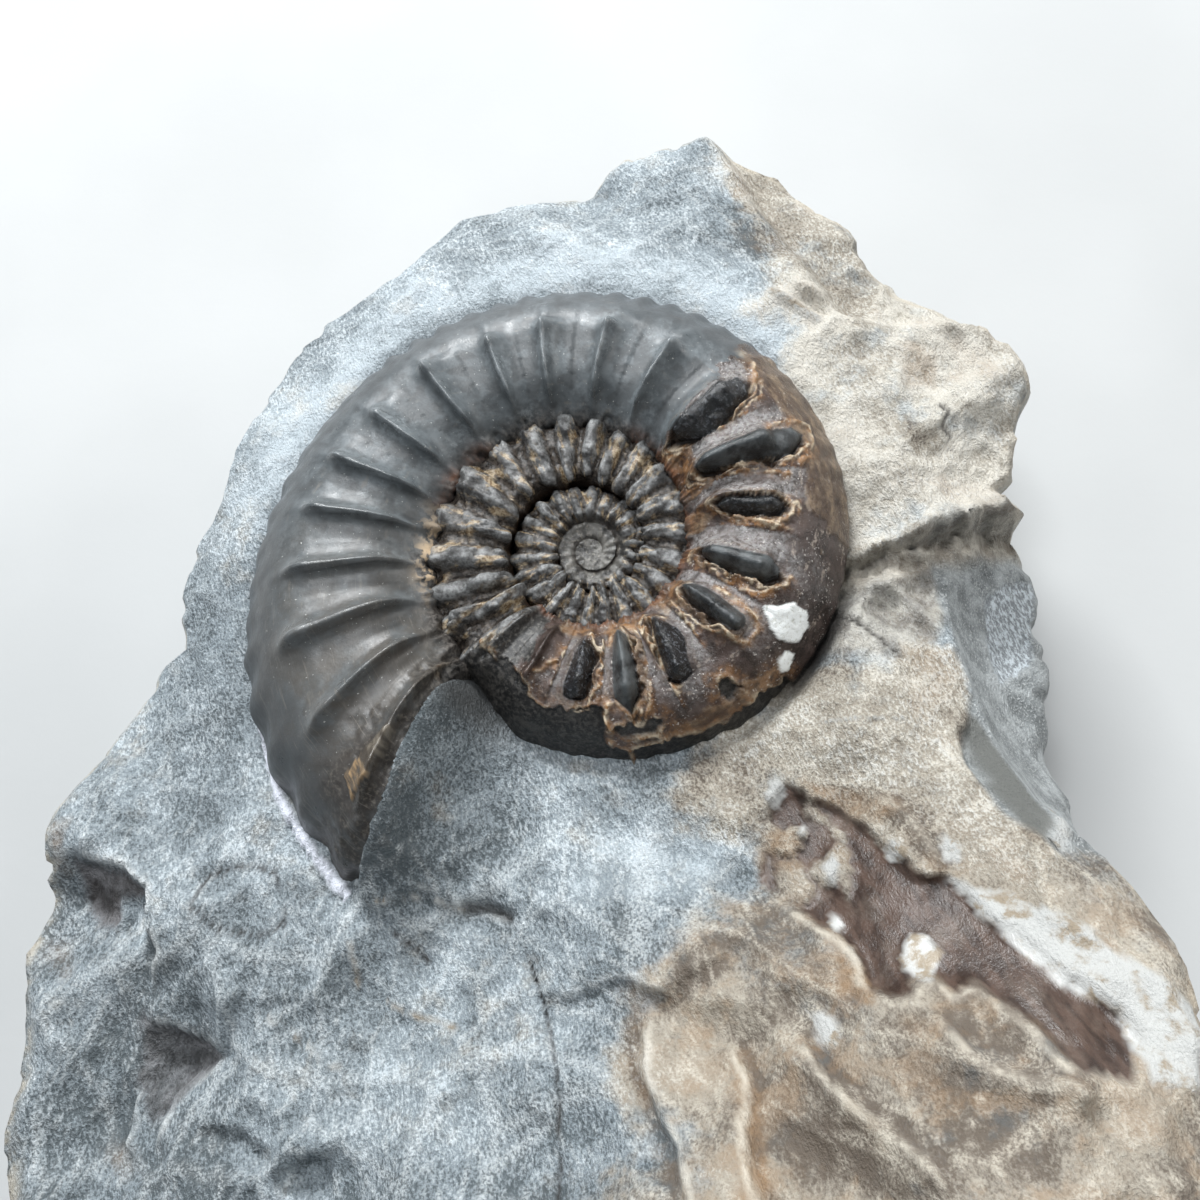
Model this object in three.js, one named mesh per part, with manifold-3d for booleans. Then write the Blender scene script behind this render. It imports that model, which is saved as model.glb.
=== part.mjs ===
// A fossil ammonite, ribbed and evolute, set in the loose block of grey limestone that it was split from.
// The block lies on its flat back, so the shell faces up. Millimetres, +Z up.
// The origin is on the block's base, straight below the shell's coiling axis.
//
// Two pieces: "ammonite", the petrified shell, and "matrix", the stone with a seat for it.
// The shell is one spiral ribbon: each whorl's section runs out from its seam on the whorl before it,
// over a ribbed flank and down a sloping venter to the keel, and neighbouring whorls share the seam.

import * as THREE from "three";
import { mergeVertices } from "three/addons/utils/BufferGeometryUtils.js";
import Module from "manifold-3d";

// ---- driving dimensions, mm and degrees ----

const MID_PLANE_Z = 26; // the shell's plane of symmetry above the base
const SEAT_GAP = 0.3; // clearance between the shell and its seat in the stone
const BURIED_DEPTH = 5; // how far the shell goes on below its plane of symmetry
const BURIED_SHRINK = 0.88; // its underside's plan as a share of the keel's
const BURIED_CENTRE = [-11, 5];

const STEPS_PER_TURN = 144;
const FIRST_ANGLE = -540; // the coil's centre
const LAST_ANGLE = 585; // the broken end of the last whorl

// Keel radius against coiling angle: the shell's growth, faster towards its end.
const KEEL_RADIUS = [
  [-900, 1.2],
  [-540, 2.5],
  [-360, 4.1],
  [-240, 5.5],
  [-120, 6.1],
  [0, 7.6],
  [120, 11.2],
  [225, 13.1],
  [270, 15.2],
  [360, 18.7],
  [450, 21.5],
  [495, 23.2],
  [540, 26.0],
  [585, 29.8],
];
const OVERLAP = 0.92; // a whorl's seam lies at this share of the radius of the whorl that it covers
const HALF_THICKNESS = 0.43; // of the whorl's height, seam to keel
const SEAM_LEVEL = 0.3; // height of the seam, as a share of the half thickness

// Half sections from the seam outwards:
// [share of the whorl's height, share of its half thickness, share of the ribs' relief].
const OUTER_SECTION = [
  [0, SEAM_LEVEL, 0],
  [0.06, 0.72, 0.3],
  [0.18, 0.94, 1],
  [0.4, 1, 1],
  [0.6, 0.97, 1],
  [0.76, 0.76, 0.15],
  [0.9, 0.4, 0],
  [1, 0, 0],
];
const INNER_SECTION = [
  [0, SEAM_LEVEL, 0],
  [0.1, 0.8, 0.5],
  [0.5, 1, 1],
];
const VENTER_LEVELS = [0.5, 0.2, 0]; // the bare venter at the start of the last whorl, down to the keel

// Rib crests on the last whorl, from its broken end inwards; inside them the ribs are evenly spaced.
const RIB_ANGLES = [
  584, 573, 562, 549, 536, 524, 511, 495, 478, 464, 447,
  429, 410, 390, 374, 351, 329, 306, 288, 270, 251, 232,
];
const INNER_RIB_STEP = 17;
const INNER_RIB_END = -330; // the innermost coil is smooth
const RIB_HEIGHT = 0.085; // of the whorl's height
const RIB_SHARPNESS = 0.27; // rib half width as a share of the rib spacing

const LIP_SLANT = 16; // how far the broken end leans forward from seam to keel
const SLANT_START = 557;

// ---- the block's dimensions ----

// The block's rim in plan, anticlockwise from the right.
const RIM = [
  [34, -1],
  [32.5, 3],
  [30, 6],
  [31, 7],
  [32, 10.5],
  [33, 14],
  [31.5, 18],
  [29, 20.5],
  [23.5, 23.5],
  [21.5, 27],
  [20, 31],
  [15.5, 34],
  [14, 36.5],
  [8, 39],
  [1, 37.5],
  [-2, 33.5],
  [-9, 33],
  [-13, 31],
  [-17.5, 25],
  [-22, 22.5],
  [-26, 19],
  [-28.5, 15],
  [-30.5, 10],
  [-31, 5.5],
  [-33.5, 2],
  [-34, -2],
  [-33, -7],
  [-35, -8],
  [-38, -15],
  [-40, -20],
  [-39.5, -26],
  [-40, -31],
  [-39, -36],
  [-39, -43],
  [-36, -50],
  [-27, -54],
  [-12, -55.5],
  [2, -54],
  [14, -54],
  [26, -50],
  [32.5, -42],
  [35.5, -34],
  [35.5, -27],
  [33, -22.5],
  [34.5, -17],
  [33, -14],
  [34, -8],
];
const RIM_STEPS = 96;
const NEAR_RINGS = [11.5, 13, 15, 17, 19.5, 22, 24.5, 27]; // round the shell, by radius
const FAR_RINGS = [0.16, 0.34, 0.52, 0.68, 0.82, 0.93, 1]; // then by share of the way out to the rim
const SIDE_RINGS = [0.07, 0.2, 0.38, 0.56, 0.74, 0.9, 1]; // share of the way down to the base
const RIM_ROUNDING = 0.9;
const BASE_CENTRE = [-2, -7];
const BASE_SHRINK = 0.84; // the base's plan as a share of the rim's
const BULGE = 1.6; // of the sides below the rim
const LEDGE = 1.1; // roughness of the sides

// The face's heights are from the shell's plane of symmetry.
const BED_LEVEL = -0.6; // round the shell
const EDGE_DROP = 4.8; // from the bed to the far and left rim
const EDGE_DROP_RADII = [23, 39];
const NEAR_LINE = -14; // y below which the near end rises
const NEAR_SLOPE = 0.08;
const SHOULDER_DIRECTION = [0.62, -0.78]; // in plan, towards the near right corner
const SHOULDER_START = 12; // along that direction
const SHOULDER_RISE = 0.0185; // per square millimetre beyond its start
const SHOULDER_TOP = 18; // above this the climb levels off
const SHOULDER_CREST = 6;

// The scarp is the near edge of the rough far right corner, with a trench along its foot.
const SCARP_START = 19;
const SCARP_SLOPE = 0.33;
const CORNER_LEVEL = -1;
const CORNER_SLOPE = 0.12;
const TRENCH_LEVEL = -2.2;
const TRENCH_SLOPE = 0.35; // down towards the right
const TRENCH_SIDE = 0.65; // its climb towards the ridge

// The ridge bounds a fresh break that takes away the right side: [y, x] along its edge.
const RIDGE = [
  [-30, 38],
  [-26, 35.1],
  [-18, 29.1],
  [-1, 24.5],
  [6, 22.5],
];
const BREAK_LEVEL = -9.5;
const BREAK_REACH = 4;

// A fold runs from the far rim to the corner, where the stone behind it lies a step lower: [y, x].
const FOLD = [
  [18.7, 18.5],
  [36.2, 9.3],
];
const STEP_LINE = [18.7, 20.4];
const STEP_DROP = 1.6;

// [size, height] of the face's lumps.
const ROUGHNESS = [
  [7, 0.8],
  [3.5, 0.3],
];

// Stone left standing in front of the shell's broken end: [share of the way to the keel, height].
const LIP_FILL = [
  [0, 3.5],
  [0.25, 5.6],
  [0.5, 5.2],
  [0.75, 3],
  [1, 0],
];
const LIP_FILL_REACH = 5;

// Bowls and swellings of the face: [x, y, radius, depth], a swelling's depth being negative.
const HOLLOWS = [
  [-37, -27, 6.5, 2.2],
  [-26, -37, 5, 1.6],
  [-32, -42, 6, 2.2],
  [-14, -48, 8, 1.5],
  [-6, -18, 8, 1],
  [-6, -26.5, 2.5, 0.8],
  [3, -27, 7, -1.2],
  [8, -36, 7, 1.8],
  [17, -41, 6, 2.4],
  [27, -35, 6, 2],
  [14, -23, 5.5, 1.2],
  [19, -11.5, 9, -2.4],
  [20, 25, 5, 1],
  [27, 13, 4.5, 1],
  [0, 31, 5, 1],
  [30.5, -3.5, 5, 1.2],
];

// ---- small helpers ----

const clamp01 = (t) => Math.min(1, Math.max(0, t));

function smooth(low, high, value) {
  const t = clamp01((value - low) / (high - low));
  return t * t * (3 - 2 * t);
}

const mix = (a, b, t) => a + (b - a) * t;

const radians = (degrees) => (degrees * Math.PI) / 180;

// Smooth curve through [position, value] pairs, with tangents from each point's neighbours.
function curveThrough(points, position) {
  let i = 0;
  while (i < points.length - 2 && position > points[i + 1][0]) i += 1;
  const slope = (k) => {
    const before = points[Math.max(0, k - 1)];
    const after = points[Math.min(points.length - 1, k + 1)];
    return (after[1] - before[1]) / (after[0] - before[0]);
  };
  const [x0, y0] = points[i];
  const [x1, y1] = points[i + 1];
  const width = x1 - x0;
  const t = clamp01((position - x0) / width);
  const t2 = t * t;
  const t3 = t2 * t;
  return (
    (2 * t3 - 3 * t2 + 1) * y0 +
    (t3 - 2 * t2 + t) * width * slope(i) +
    (3 * t2 - 2 * t3) * y1 +
    (t3 - t2) * width * slope(i + 1)
  );
}

// Repeatable value noise in [-1, 1] on a lattice of unit cells.
function lattice(i, j, k) {
  const s = Math.sin(i * 127.1 + j * 311.7 + k * 74.7) * 43758.5453;
  return 2 * (s - Math.floor(s)) - 1;
}

function noise(x, y, z) {
  const [i, j, k] = [Math.floor(x), Math.floor(y), Math.floor(z)];
  const [u, v, w] = [smooth(0, 1, x - i), smooth(0, 1, y - j), smooth(0, 1, z - k)];
  const edge = (dj, dk) => mix(lattice(i, j + dj, k + dk), lattice(i + 1, j + dj, k + dk), u);
  const side = (dk) => mix(edge(0, dk), edge(1, dk), v);
  return mix(side(0), side(1), w);
}

// Collects vertices and faces of one closed mesh.
class Surface {
  constructor() {
    this.points = [];
    this.faces = [];
  }

  add(x, y, z) {
    this.points.push(x, y, z);
    return this.points.length / 3 - 1;
  }

  // Fills the band between two rows of vertices, which may hold different numbers of them.
  band(rowA, rowB) {
    let [a, b] = [0, 0];
    const triangle = (p, q, r) => {
      if (p !== q && q !== r && r !== p) this.faces.push(p, q, r);
    };
    while (a < rowA.length - 1 || b < rowB.length - 1) {
      const nextA = (a + 1) / (rowA.length - 1);
      const nextB = (b + 1) / (rowB.length - 1);
      const advanceA = a < rowA.length - 1 && (b === rowB.length - 1 || nextA <= nextB);
      if (advanceA) {
        triangle(rowA[a], rowA[a + 1], rowB[b]);
        a += 1;
      } else {
        triangle(rowA[a], rowB[b + 1], rowB[b]);
        b += 1;
      }
    }
  }

  // Closes a loop of vertices with a flat polygon, triangulated in the plane that flatten maps it to.
  polygon(loop, flatten) {
    const outline = loop.map((id) => {
      const [x, y, z] = this.points.slice(3 * id, 3 * id + 3);
      return flatten(x, y, z);
    });
    for (const triangle of THREE.ShapeUtils.triangulateShape(outline, [])) {
      this.faces.push(...triangle.map((corner) => loop[corner]));
    }
  }

  geometry() {
    const made = new THREE.BufferGeometry();
    made.setAttribute("position", new THREE.Float32BufferAttribute(this.points, 3));
    made.setIndex(this.faces);
    return made;
  }
}

// ---- the shell ----

const keelRadius = (angle) =>
  Math.exp(curveThrough(KEEL_RADIUS.map(([a, r]) => [a, Math.log(r)]), angle));

const seamRadius = (angle) => OVERLAP * keelRadius(angle - 360);

const allRibs = [...RIB_ANGLES];
for (let a = RIB_ANGLES.at(-1) - INNER_RIB_STEP; a > INNER_RIB_END; a -= INNER_RIB_STEP) allRibs.push(a);

// 0 between ribs, 1 on a crest.
function ribAt(angle) {
  let best = 0;
  allRibs.forEach((crest, n) => {
    const neighbour = allRibs[n + 1] ?? crest - INNER_RIB_STEP;
    const halfWidth = RIB_SHARPNESS * (crest - neighbour);
    const away = (angle - crest) / halfWidth;
    best = Math.max(best, Math.exp(-away * away));
  });
  return best;
}

// The point of the shell at a coiling angle, a share of the whorl's height and of its half thickness.
function shellPoint(angle, outward, level, ribShare) {
  const [inner, outer] = [seamRadius(angle), keelRadius(angle)];
  const height = outer - inner;
  const lean = LIP_SLANT * smooth(SLANT_START, LAST_ANGLE, angle) * outward;
  const turn = radians(angle + lean);
  const radius = mix(inner, outer, outward);
  const rib = RIB_HEIGHT * height * ribShare * (ribAt(angle) - 0.35);
  const z = HALF_THICKNESS * height * level + rib;
  return [radius * Math.cos(turn), radius * Math.sin(turn), MID_PLANE_Z + z];
}

function shellSurface() {
  const surface = new Surface();
  const stepAngle = 360 / STEPS_PER_TURN;
  const last = (LAST_ANGLE - FIRST_ANGLE) / stepAngle;
  const coveredTo = last - STEPS_PER_TURN; // whorls up to here are covered by the next one
  const rows = [];
  for (let i = last; i >= 0; i -= 1) {
    const angle = FIRST_ANGLE + i * stepAngle;
    const section = i > coveredTo ? OUTER_SECTION : INNER_SECTION;
    rows[i] = section.map(([outward, level, rib]) => surface.add(...shellPoint(angle, outward, level, rib)));
    if (i <= coveredTo) rows[i].push(rows[i + STEPS_PER_TURN][0]);
  }

  // The venter of the last whorl's first section, bare below the seam of its broken end.
  const startAngle = LAST_ANGLE - 360;
  const bareVenter = VENTER_LEVELS.map((level) =>
    surface.add(...shellPoint(startAngle, 1 - 0.25 * level, level, 0)),
  );
  const startRow = [...rows[coveredTo], ...bareVenter];
  for (let i = 0; i < last; i += 1) {
    surface.band(i === coveredTo ? startRow : rows[i], rows[i + 1]);
  }

  // The coil's centre, a low dome.
  const hub = surface.add(0, 0, surface.points[3 * rows[0][0] + 2] + 0.2);
  const hubLoop = rows.slice(0, STEPS_PER_TURN + 1).map((row) => row[0]);
  const firstSection = [...rows[0].slice(1, -1)].reverse();
  const loop = [...hubLoop, ...firstSection];
  loop.forEach((id, n) => surface.faces.push(hub, id, loop[(n + 1) % loop.length]));

  // The broken end stands upright on a line at the plane of symmetry, from the keel in to the bare venter.
  const endFoot = OUTER_SECTION.slice(2, -1).map(([outward]) =>
    surface.add(...shellPoint(LAST_ANGLE, outward, 0, 0)),
  );
  surface.band(rows[last], [...bareVenter, ...endFoot, rows[last].at(-1)]);

  // The buried part draws in from the plane of symmetry to a plain underside.
  const keel = rows.slice(coveredTo + 1).map((row) => row.at(-1));
  const plan = [bareVenter.at(-1), ...keel, ...endFoot.reverse()];
  const under = plan.map((id) => {
    const [x, y] = surface.points.slice(3 * id, 3 * id + 2);
    const [cx, cy] = BURIED_CENTRE;
    return surface.add(mix(cx, x, BURIED_SHRINK), mix(cy, y, BURIED_SHRINK), MID_PLANE_Z - BURIED_DEPTH);
  });
  plan.forEach((id, n) => {
    const next = (n + 1) % plan.length;
    surface.faces.push(id, under[n], plan[next]);
    surface.faces.push(plan[next], under[n], under[next]);
  });
  surface.polygon(under, (x, y) => new THREE.Vector2(-x, y));
  return { surface, plan };
}

// Pushes a closed anticlockwise loop of [x, y] points outwards.
function grow(loop, distance) {
  return loop.map(([x, y], n) => {
    const [ax, ay] = loop[(n + loop.length - 1) % loop.length];
    const [bx, by] = loop[(n + 1) % loop.length];
    const into = new THREE.Vector2(x - ax, y - ay).normalize();
    const out = new THREE.Vector2(bx - x, by - y).normalize();
    const normal = new THREE.Vector2(into.y + out.y, -into.x - out.x).normalize();
    const miter = distance / Math.max(0.4, normal.dot(new THREE.Vector2(into.y, -into.x)));
    return [x + normal.x * miter, y + normal.y * miter];
  });
}

// ---- the block ----

function lipFill(x, y) {
  const radius = Math.hypot(x, y);
  const outward = (radius - seamRadius(LAST_ANGLE)) / (keelRadius(LAST_ANGLE) - seamRadius(LAST_ANGLE));
  if (outward > 1) return 0;
  const turn = (Math.atan2(y, x) * 180) / Math.PI + 720;
  const ahead = radians(turn - LAST_ANGLE - LIP_SLANT * clamp01(outward)) * radius;
  const fade = ahead > 0 ? -ahead / LIP_FILL_REACH : ahead / SEAT_GAP;
  return curveThrough(LIP_FILL, clamp01(outward)) * Math.exp(fade);
}

// Straight line through two [position, value] points.
const lineThrough = ([[x0, y0], [x1, y1]], position) => y0 + ((position - x0) * (y1 - y0)) / (x1 - x0);

function ridgeAt(y) {
  const next = RIDGE.findIndex(([end]) => y < end);
  const n = next < 0 ? RIDGE.length - 1 : Math.max(1, next);
  return lineThrough([RIDGE[n - 1], RIDGE[n]], y);
}

// The block's upper face above a point in plan, before the seat is cut.
function faceHeight(x, y) {
  const fromAxis = Math.hypot(x, y);
  const scarp = y - SCARP_SLOPE * (x - SCARP_START);

  // A level bed round the shell falls away to the far and left edges; the near end rises to the right.
  const climb = Math.max(0, SHOULDER_DIRECTION[0] * x + SHOULDER_DIRECTION[1] * y - SHOULDER_START);
  const nearShare = smooth(8, 24, -y);
  let z = BED_LEVEL - EDGE_DROP * smooth(...EDGE_DROP_RADII, fromAxis) * (1 - nearShare);
  z += NEAR_SLOPE * Math.max(0, NEAR_LINE - y) + SHOULDER_RISE * climb ** 2;
  if (z > SHOULDER_TOP) z = SHOULDER_TOP + SHOULDER_CREST * Math.tanh((z - SHOULDER_TOP) / SHOULDER_CREST);
  z += lipFill(x, y);
  for (const [hx, hy, radius, depth] of HOLLOWS) {
    const away = Math.hypot(x - hx, y - hy) / radius;
    if (away < 1) z -= depth * (1 - away * away) ** 2;
  }

  // Right of the shell: the trench and the break below the scarp, the corner and its step above it.
  if (x > 14 && y < 24) {
    let below = Math.min(z, TRENCH_LEVEL - TRENCH_SLOPE * (x - 18) + TRENCH_SIDE * (-scarp - 1));
    const past = x - ridgeAt(y);
    if (past > 0) below = Math.min(below, BREAK_LEVEL + (z - BREAK_LEVEL) * Math.exp(-past / BREAK_REACH));
    const cornerShare = smooth(14, 19, x) * (1 - smooth(...STEP_LINE, y));
    const above = mix(z, CORNER_LEVEL - CORNER_SLOPE * (x - 18), cornerShare);
    z = mix(below, above, smooth(-0.7, 0.7, scarp));
  }
  z -= STEP_DROP * smooth(...STEP_LINE, y) * smooth(0, 2, x - lineThrough(FOLD, y));

  const rough = 0.25 + smooth(22, 32, fromAxis);
  const lumps = ROUGHNESS.map(([size, height]) => height * noise(x / size, y / size, size));
  return MID_PLANE_Z + z + rough * (lumps[0] + lumps[1]);
}

// Where the ray from the shell's axis at this angle meets the rim.
function rimRadius(angle) {
  const direction = new THREE.Vector2(Math.cos(angle), Math.sin(angle));
  let best = 0;
  RIM.forEach(([ax, ay], n) => {
    const [bx, by] = RIM[(n + 1) % RIM.length];
    const start = new THREE.Vector2(ax, ay);
    const edge = new THREE.Vector2(bx - ax, by - ay);
    const span = direction.cross(edge);
    const share = start.cross(direction) / span;
    if (share >= 0 && share <= 1) best = Math.max(best, start.cross(edge) / span);
  });
  return best;
}

function blockSurface() {
  const surface = new Surface();
  const spokes = Array.from({ length: RIM_STEPS }, (_, n) => {
    const angle = (2 * Math.PI * n) / RIM_STEPS;
    return { x: Math.cos(angle), y: Math.sin(angle), rim: rimRadius(angle) };
  });
  const hub = surface.add(0, 0, faceHeight(0, 0));
  const rings = NEAR_RINGS.map((radius) =>
    spokes.map((spoke) => {
      const [x, y] = [radius * spoke.x, radius * spoke.y];
      return surface.add(x, y, faceHeight(x, y));
    }),
  );
  for (const share of FAR_RINGS) {
    const ring = spokes.map((spoke) => {
      const radius = mix(NEAR_RINGS.at(-1), spoke.rim, share);
      const [x, y] = [radius * spoke.x, radius * spoke.y];
      return surface.add(x, y, faceHeight(x, y) - RIM_ROUNDING * smooth(0.8, 1, share));
    });
    rings.push(ring);
  }
  for (const share of SIDE_RINGS) {
    const ring = spokes.map((spoke) => {
      const [x, y] = [spoke.rim * spoke.x, spoke.rim * spoke.y];
      const z = mix(faceHeight(x, y) - RIM_ROUNDING, 0, share);
      const ledge = noise(x / 9, y / 9, z / 6) + 0.6 * noise(x / 4, y / 4, z / 3);
      const swell = BULGE * Math.sin(Math.PI * Math.min(1, 1.6 * share));
      const relief = swell + LEDGE * ledge * Math.sin(Math.PI * share);
      const reach = mix(1, BASE_SHRINK, share ** 1.7) + relief / spoke.rim;
      return surface.add(mix(BASE_CENTRE[0], x, reach), mix(BASE_CENTRE[1], y, reach), z);
    });
    rings.push(ring);
  }
  rings[0].forEach((id, n) => surface.faces.push(hub, id, rings[0][(n + 1) % RIM_STEPS]));
  rings.slice(1).forEach((ring, k) => {
    const inner = rings[k];
    surface.band([...ring, ring[0]], [...inner, inner[0]]);
  });
  surface.polygon(rings.at(-1), (x, y) => new THREE.Vector2(-x, y));
  return surface;
}

// ---- solids ----

const wasm = await Module();
wasm.setup();

function toManifold(geometry) {
  const merged = mergeVertices(geometry, 1e-4);
  return new wasm.Manifold(
    new wasm.Mesh({
      numProp: 3,
      vertProperties: merged.attributes.position.array,
      triVerts: new Uint32Array(merged.index.array),
    }),
  );
}

function toGeometry(manifold) {
  const { numProp, vertProperties, triVerts } = manifold.getMesh();
  const made = new THREE.BufferGeometry();
  const positions = [];
  for (let i = 0; i < vertProperties.length; i += numProp) positions.push(...vertProperties.slice(i, i + 3));
  made.setAttribute("position", new THREE.Float32BufferAttribute(positions, 3));
  made.setIndex([...triVerts]);
  return made;
}

// The seat: the shell's plan grown by the gap, from below its underside up through the face.
function seatGeometry(shell) {
  const plan = shell.plan.map((id) => shell.surface.points.slice(3 * id, 3 * id + 2));
  const shape = new THREE.Shape(grow(plan, SEAT_GAP).map(([x, y]) => new THREE.Vector2(x, y)));
  const seat = new THREE.ExtrudeGeometry(shape, { depth: 60, bevelEnabled: false });
  seat.deleteAttribute("normal");
  seat.deleteAttribute("uv");
  seat.translate(0, 0, MID_PLANE_Z - BURIED_DEPTH - SEAT_GAP);
  return seat;
}

function named(name, geometry, material) {
  geometry.computeVertexNormals();
  const mesh = new THREE.Mesh(geometry, material);
  mesh.name = name;
  return mesh;
}

const limestone = new THREE.MeshStandardMaterial({ color: 0xa8a8a4, roughness: 0.9, metalness: 0 });
const petrifiedShell = new THREE.MeshStandardMaterial({ color: 0x3a3733, roughness: 0.5, metalness: 0 });

const shell = shellSurface();
const block = toManifold(blockSurface().geometry()).subtract(toManifold(seatGeometry(shell)));

const fossil = new THREE.Group();
fossil.add(named("matrix", toGeometry(block), limestone));
fossil.add(named("ammonite", shell.surface.geometry(), petrifiedShell));

export default fossil;
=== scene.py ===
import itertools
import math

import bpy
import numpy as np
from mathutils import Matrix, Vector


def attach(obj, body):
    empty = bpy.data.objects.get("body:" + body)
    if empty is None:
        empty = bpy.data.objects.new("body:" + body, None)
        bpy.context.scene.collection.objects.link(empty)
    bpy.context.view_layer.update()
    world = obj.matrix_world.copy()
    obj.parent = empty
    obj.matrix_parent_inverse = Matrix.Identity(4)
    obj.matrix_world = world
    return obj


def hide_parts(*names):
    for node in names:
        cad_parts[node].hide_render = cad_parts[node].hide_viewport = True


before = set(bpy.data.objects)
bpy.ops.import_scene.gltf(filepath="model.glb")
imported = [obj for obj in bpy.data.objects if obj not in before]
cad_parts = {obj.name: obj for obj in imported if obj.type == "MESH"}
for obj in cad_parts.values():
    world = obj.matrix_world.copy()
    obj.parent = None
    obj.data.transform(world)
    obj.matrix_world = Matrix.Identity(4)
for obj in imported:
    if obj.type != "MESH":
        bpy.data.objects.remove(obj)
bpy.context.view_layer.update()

# A fossil ammonite in its block of limestone: two detailed pieces on the CAD part's forms, then the floor,
# the lights and the camera. Lengths are in millimetres and angles in degrees until a mesh is made, and
# heights are from the shell's plane of symmetry. A place on the shell is (angle, share): the coiling angle,
# and the share of the way from the whorl's seam to its keel. Masks and flags are values from 0 to 1 that
# say where something is; the finer shapes and the materials read them.

MM = 0.001
MID_PLANE_Z = 26.0  # height of the shell's plane of symmetry above the block's base


# ---- number helpers ----

FAR = 9.0  # further, in unit cells, than any neighbour's point
CELL_JITTER, SCOOP_JITTER = 0.42, 0.38  # how far a cell's point strays from the cell's middle


def clamp01(t):
    return np.clip(t, 0.0, 1.0)


def smooth(low, high, value):
    """Zero at low and beyond, one at high and beyond, and a smooth step between."""
    t = clamp01((np.asarray(value, float) - low) / (high - low))
    return t * t * (3 - 2 * t)


def window(rise, fall, value):
    """Zero, then one between the rise and the fall, then zero again."""
    return smooth(*rise, value) * (1 - smooth(*fall, value))


def mix(a, b, t):
    return a + (b - a) * t


def bell(x):
    return np.exp(-np.square(x))


def eased(heights, start, room):
    """Heights above the start are drawn together, to stay within this much room."""
    return np.where(heights > start, start + room * np.tanh((heights - start) / room), heights)


def curve(points, position):
    """Smooth curve through (position, value) pairs, with tangents from each point's neighbours."""
    xs, ys = np.array(points, float).T
    after = np.clip(np.arange(len(xs)) + 1, 0, len(xs) - 1)
    before = np.clip(np.arange(len(xs)) - 1, 0, len(xs) - 1)
    slope = (ys[after] - ys[before]) / (xs[after] - xs[before])
    position = np.asarray(position, float)
    i = np.clip(np.searchsorted(xs, position, side="right") - 1, 0, len(xs) - 2)
    width = xs[i + 1] - xs[i]
    t = clamp01((position - xs[i]) / width)
    t2, t3 = t**2, t**3
    return (
        (2 * t3 - 3 * t2 + 1) * ys[i]
        + (t3 - 2 * t2 + t) * width * slope[i]
        + (3 * t2 - 2 * t3) * ys[i + 1]
        + (t3 - t2) * width * slope[i + 1]
    )


def lattice(i, j, k):
    """A scattered number in [-1, 1] for each whole-numbered place."""
    s = np.sin(i * 127.1 + j * 311.7 + k * 74.7) * 43758.5453
    return 2 * (s - np.floor(s)) - 1


def noise(x, y, z=0.0):
    """Smooth value noise in [-1, 1] on a lattice of unit cells, by the CAD's own formula."""
    x, y, z = np.broadcast_arrays(*(np.asarray(v, float) for v in (x, y, z)))
    i, j, k = np.floor(x), np.floor(y), np.floor(z)
    u, v, w = smooth(0, 1, x - i), smooth(0, 1, y - j), smooth(0, 1, z - k)

    def edge(dj, dk):
        return mix(lattice(i, j + dj, k + dk), lattice(i + 1, j + dj, k + dk), u)

    return mix(mix(edge(0, 0), edge(1, 0), v), mix(edge(0, 1), edge(1, 1), v), w)


def fractal(x, y, z, octaves):
    """Noise in [-1, 1] in layers, each about twice as fine and half as strong as the one before."""
    total, size, norm = 0.0, 1.0, 0.0
    for n in range(octaves):
        scale = 2.03**n
        total = total + size * noise(x * scale + 17.3 * n, y * scale - 9.1 * n, z * scale + 5.7 * n)
        norm += size
        size *= 0.5
    return total / norm


def lumps(x, y, size, seed, octaves):
    """Fractal noise in [-1, 1] over the plan; its largest lumps are this many millimetres."""
    return fractal(x / size, y / size, seed, octaves)


def steps_around(dimensions):
    """Steps from a unit cell to itself and to its neighbours."""
    return itertools.product((-1, 0, 1), repeat=dimensions)


def cells(x, y, z, seed=0.0):
    """Distances to the nearest and second nearest scattered point, one point in each unit cell."""
    near = np.full(np.shape(x), FAR)
    second = near.copy()
    for di, dj, dk in steps_around(3):
        i, j, k = np.floor(x) + di, np.floor(y) + dj, np.floor(z) + dk
        dx = x - i - 0.5 - CELL_JITTER * lattice(i + seed, j, k)
        dy = y - j - 0.5 - CELL_JITTER * lattice(i, j + 31.7 + seed, k)
        dz = z - k - 0.5 - CELL_JITTER * lattice(i, j, k + 57.3 + seed)
        away = np.sqrt(dx**2 + dy**2 + dz**2)
        second = np.minimum(second, np.maximum(near, away))
        near = np.minimum(near, away)
    return near, second


def scoops(x, y, tilt, seed):
    """Overlapping shallow bowls, one in each unit cell: their level, and how near the next bowl's edge is."""
    low = np.full(np.shape(x), FAR)
    second = low.copy()
    for di, dj in steps_around(2):
        i, j = np.floor(x) + di, np.floor(y) + dj
        dx = x - i - 0.5 - SCOOP_JITTER * lattice(i, j, seed)
        dy = y - j - 0.5 - SCOOP_JITTER * lattice(i, j, seed + 7)
        turn = math.pi * lattice(i, j, seed + 13)
        slope = tilt * (np.cos(turn) * dx + np.sin(turn) * dy)
        level = 0.3 * lattice(i, j, seed + 17) + slope + dx**2 + dy**2
        second = np.minimum(second, np.maximum(low, level))
        low = np.minimum(low, level)
    return low, second - low


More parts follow.
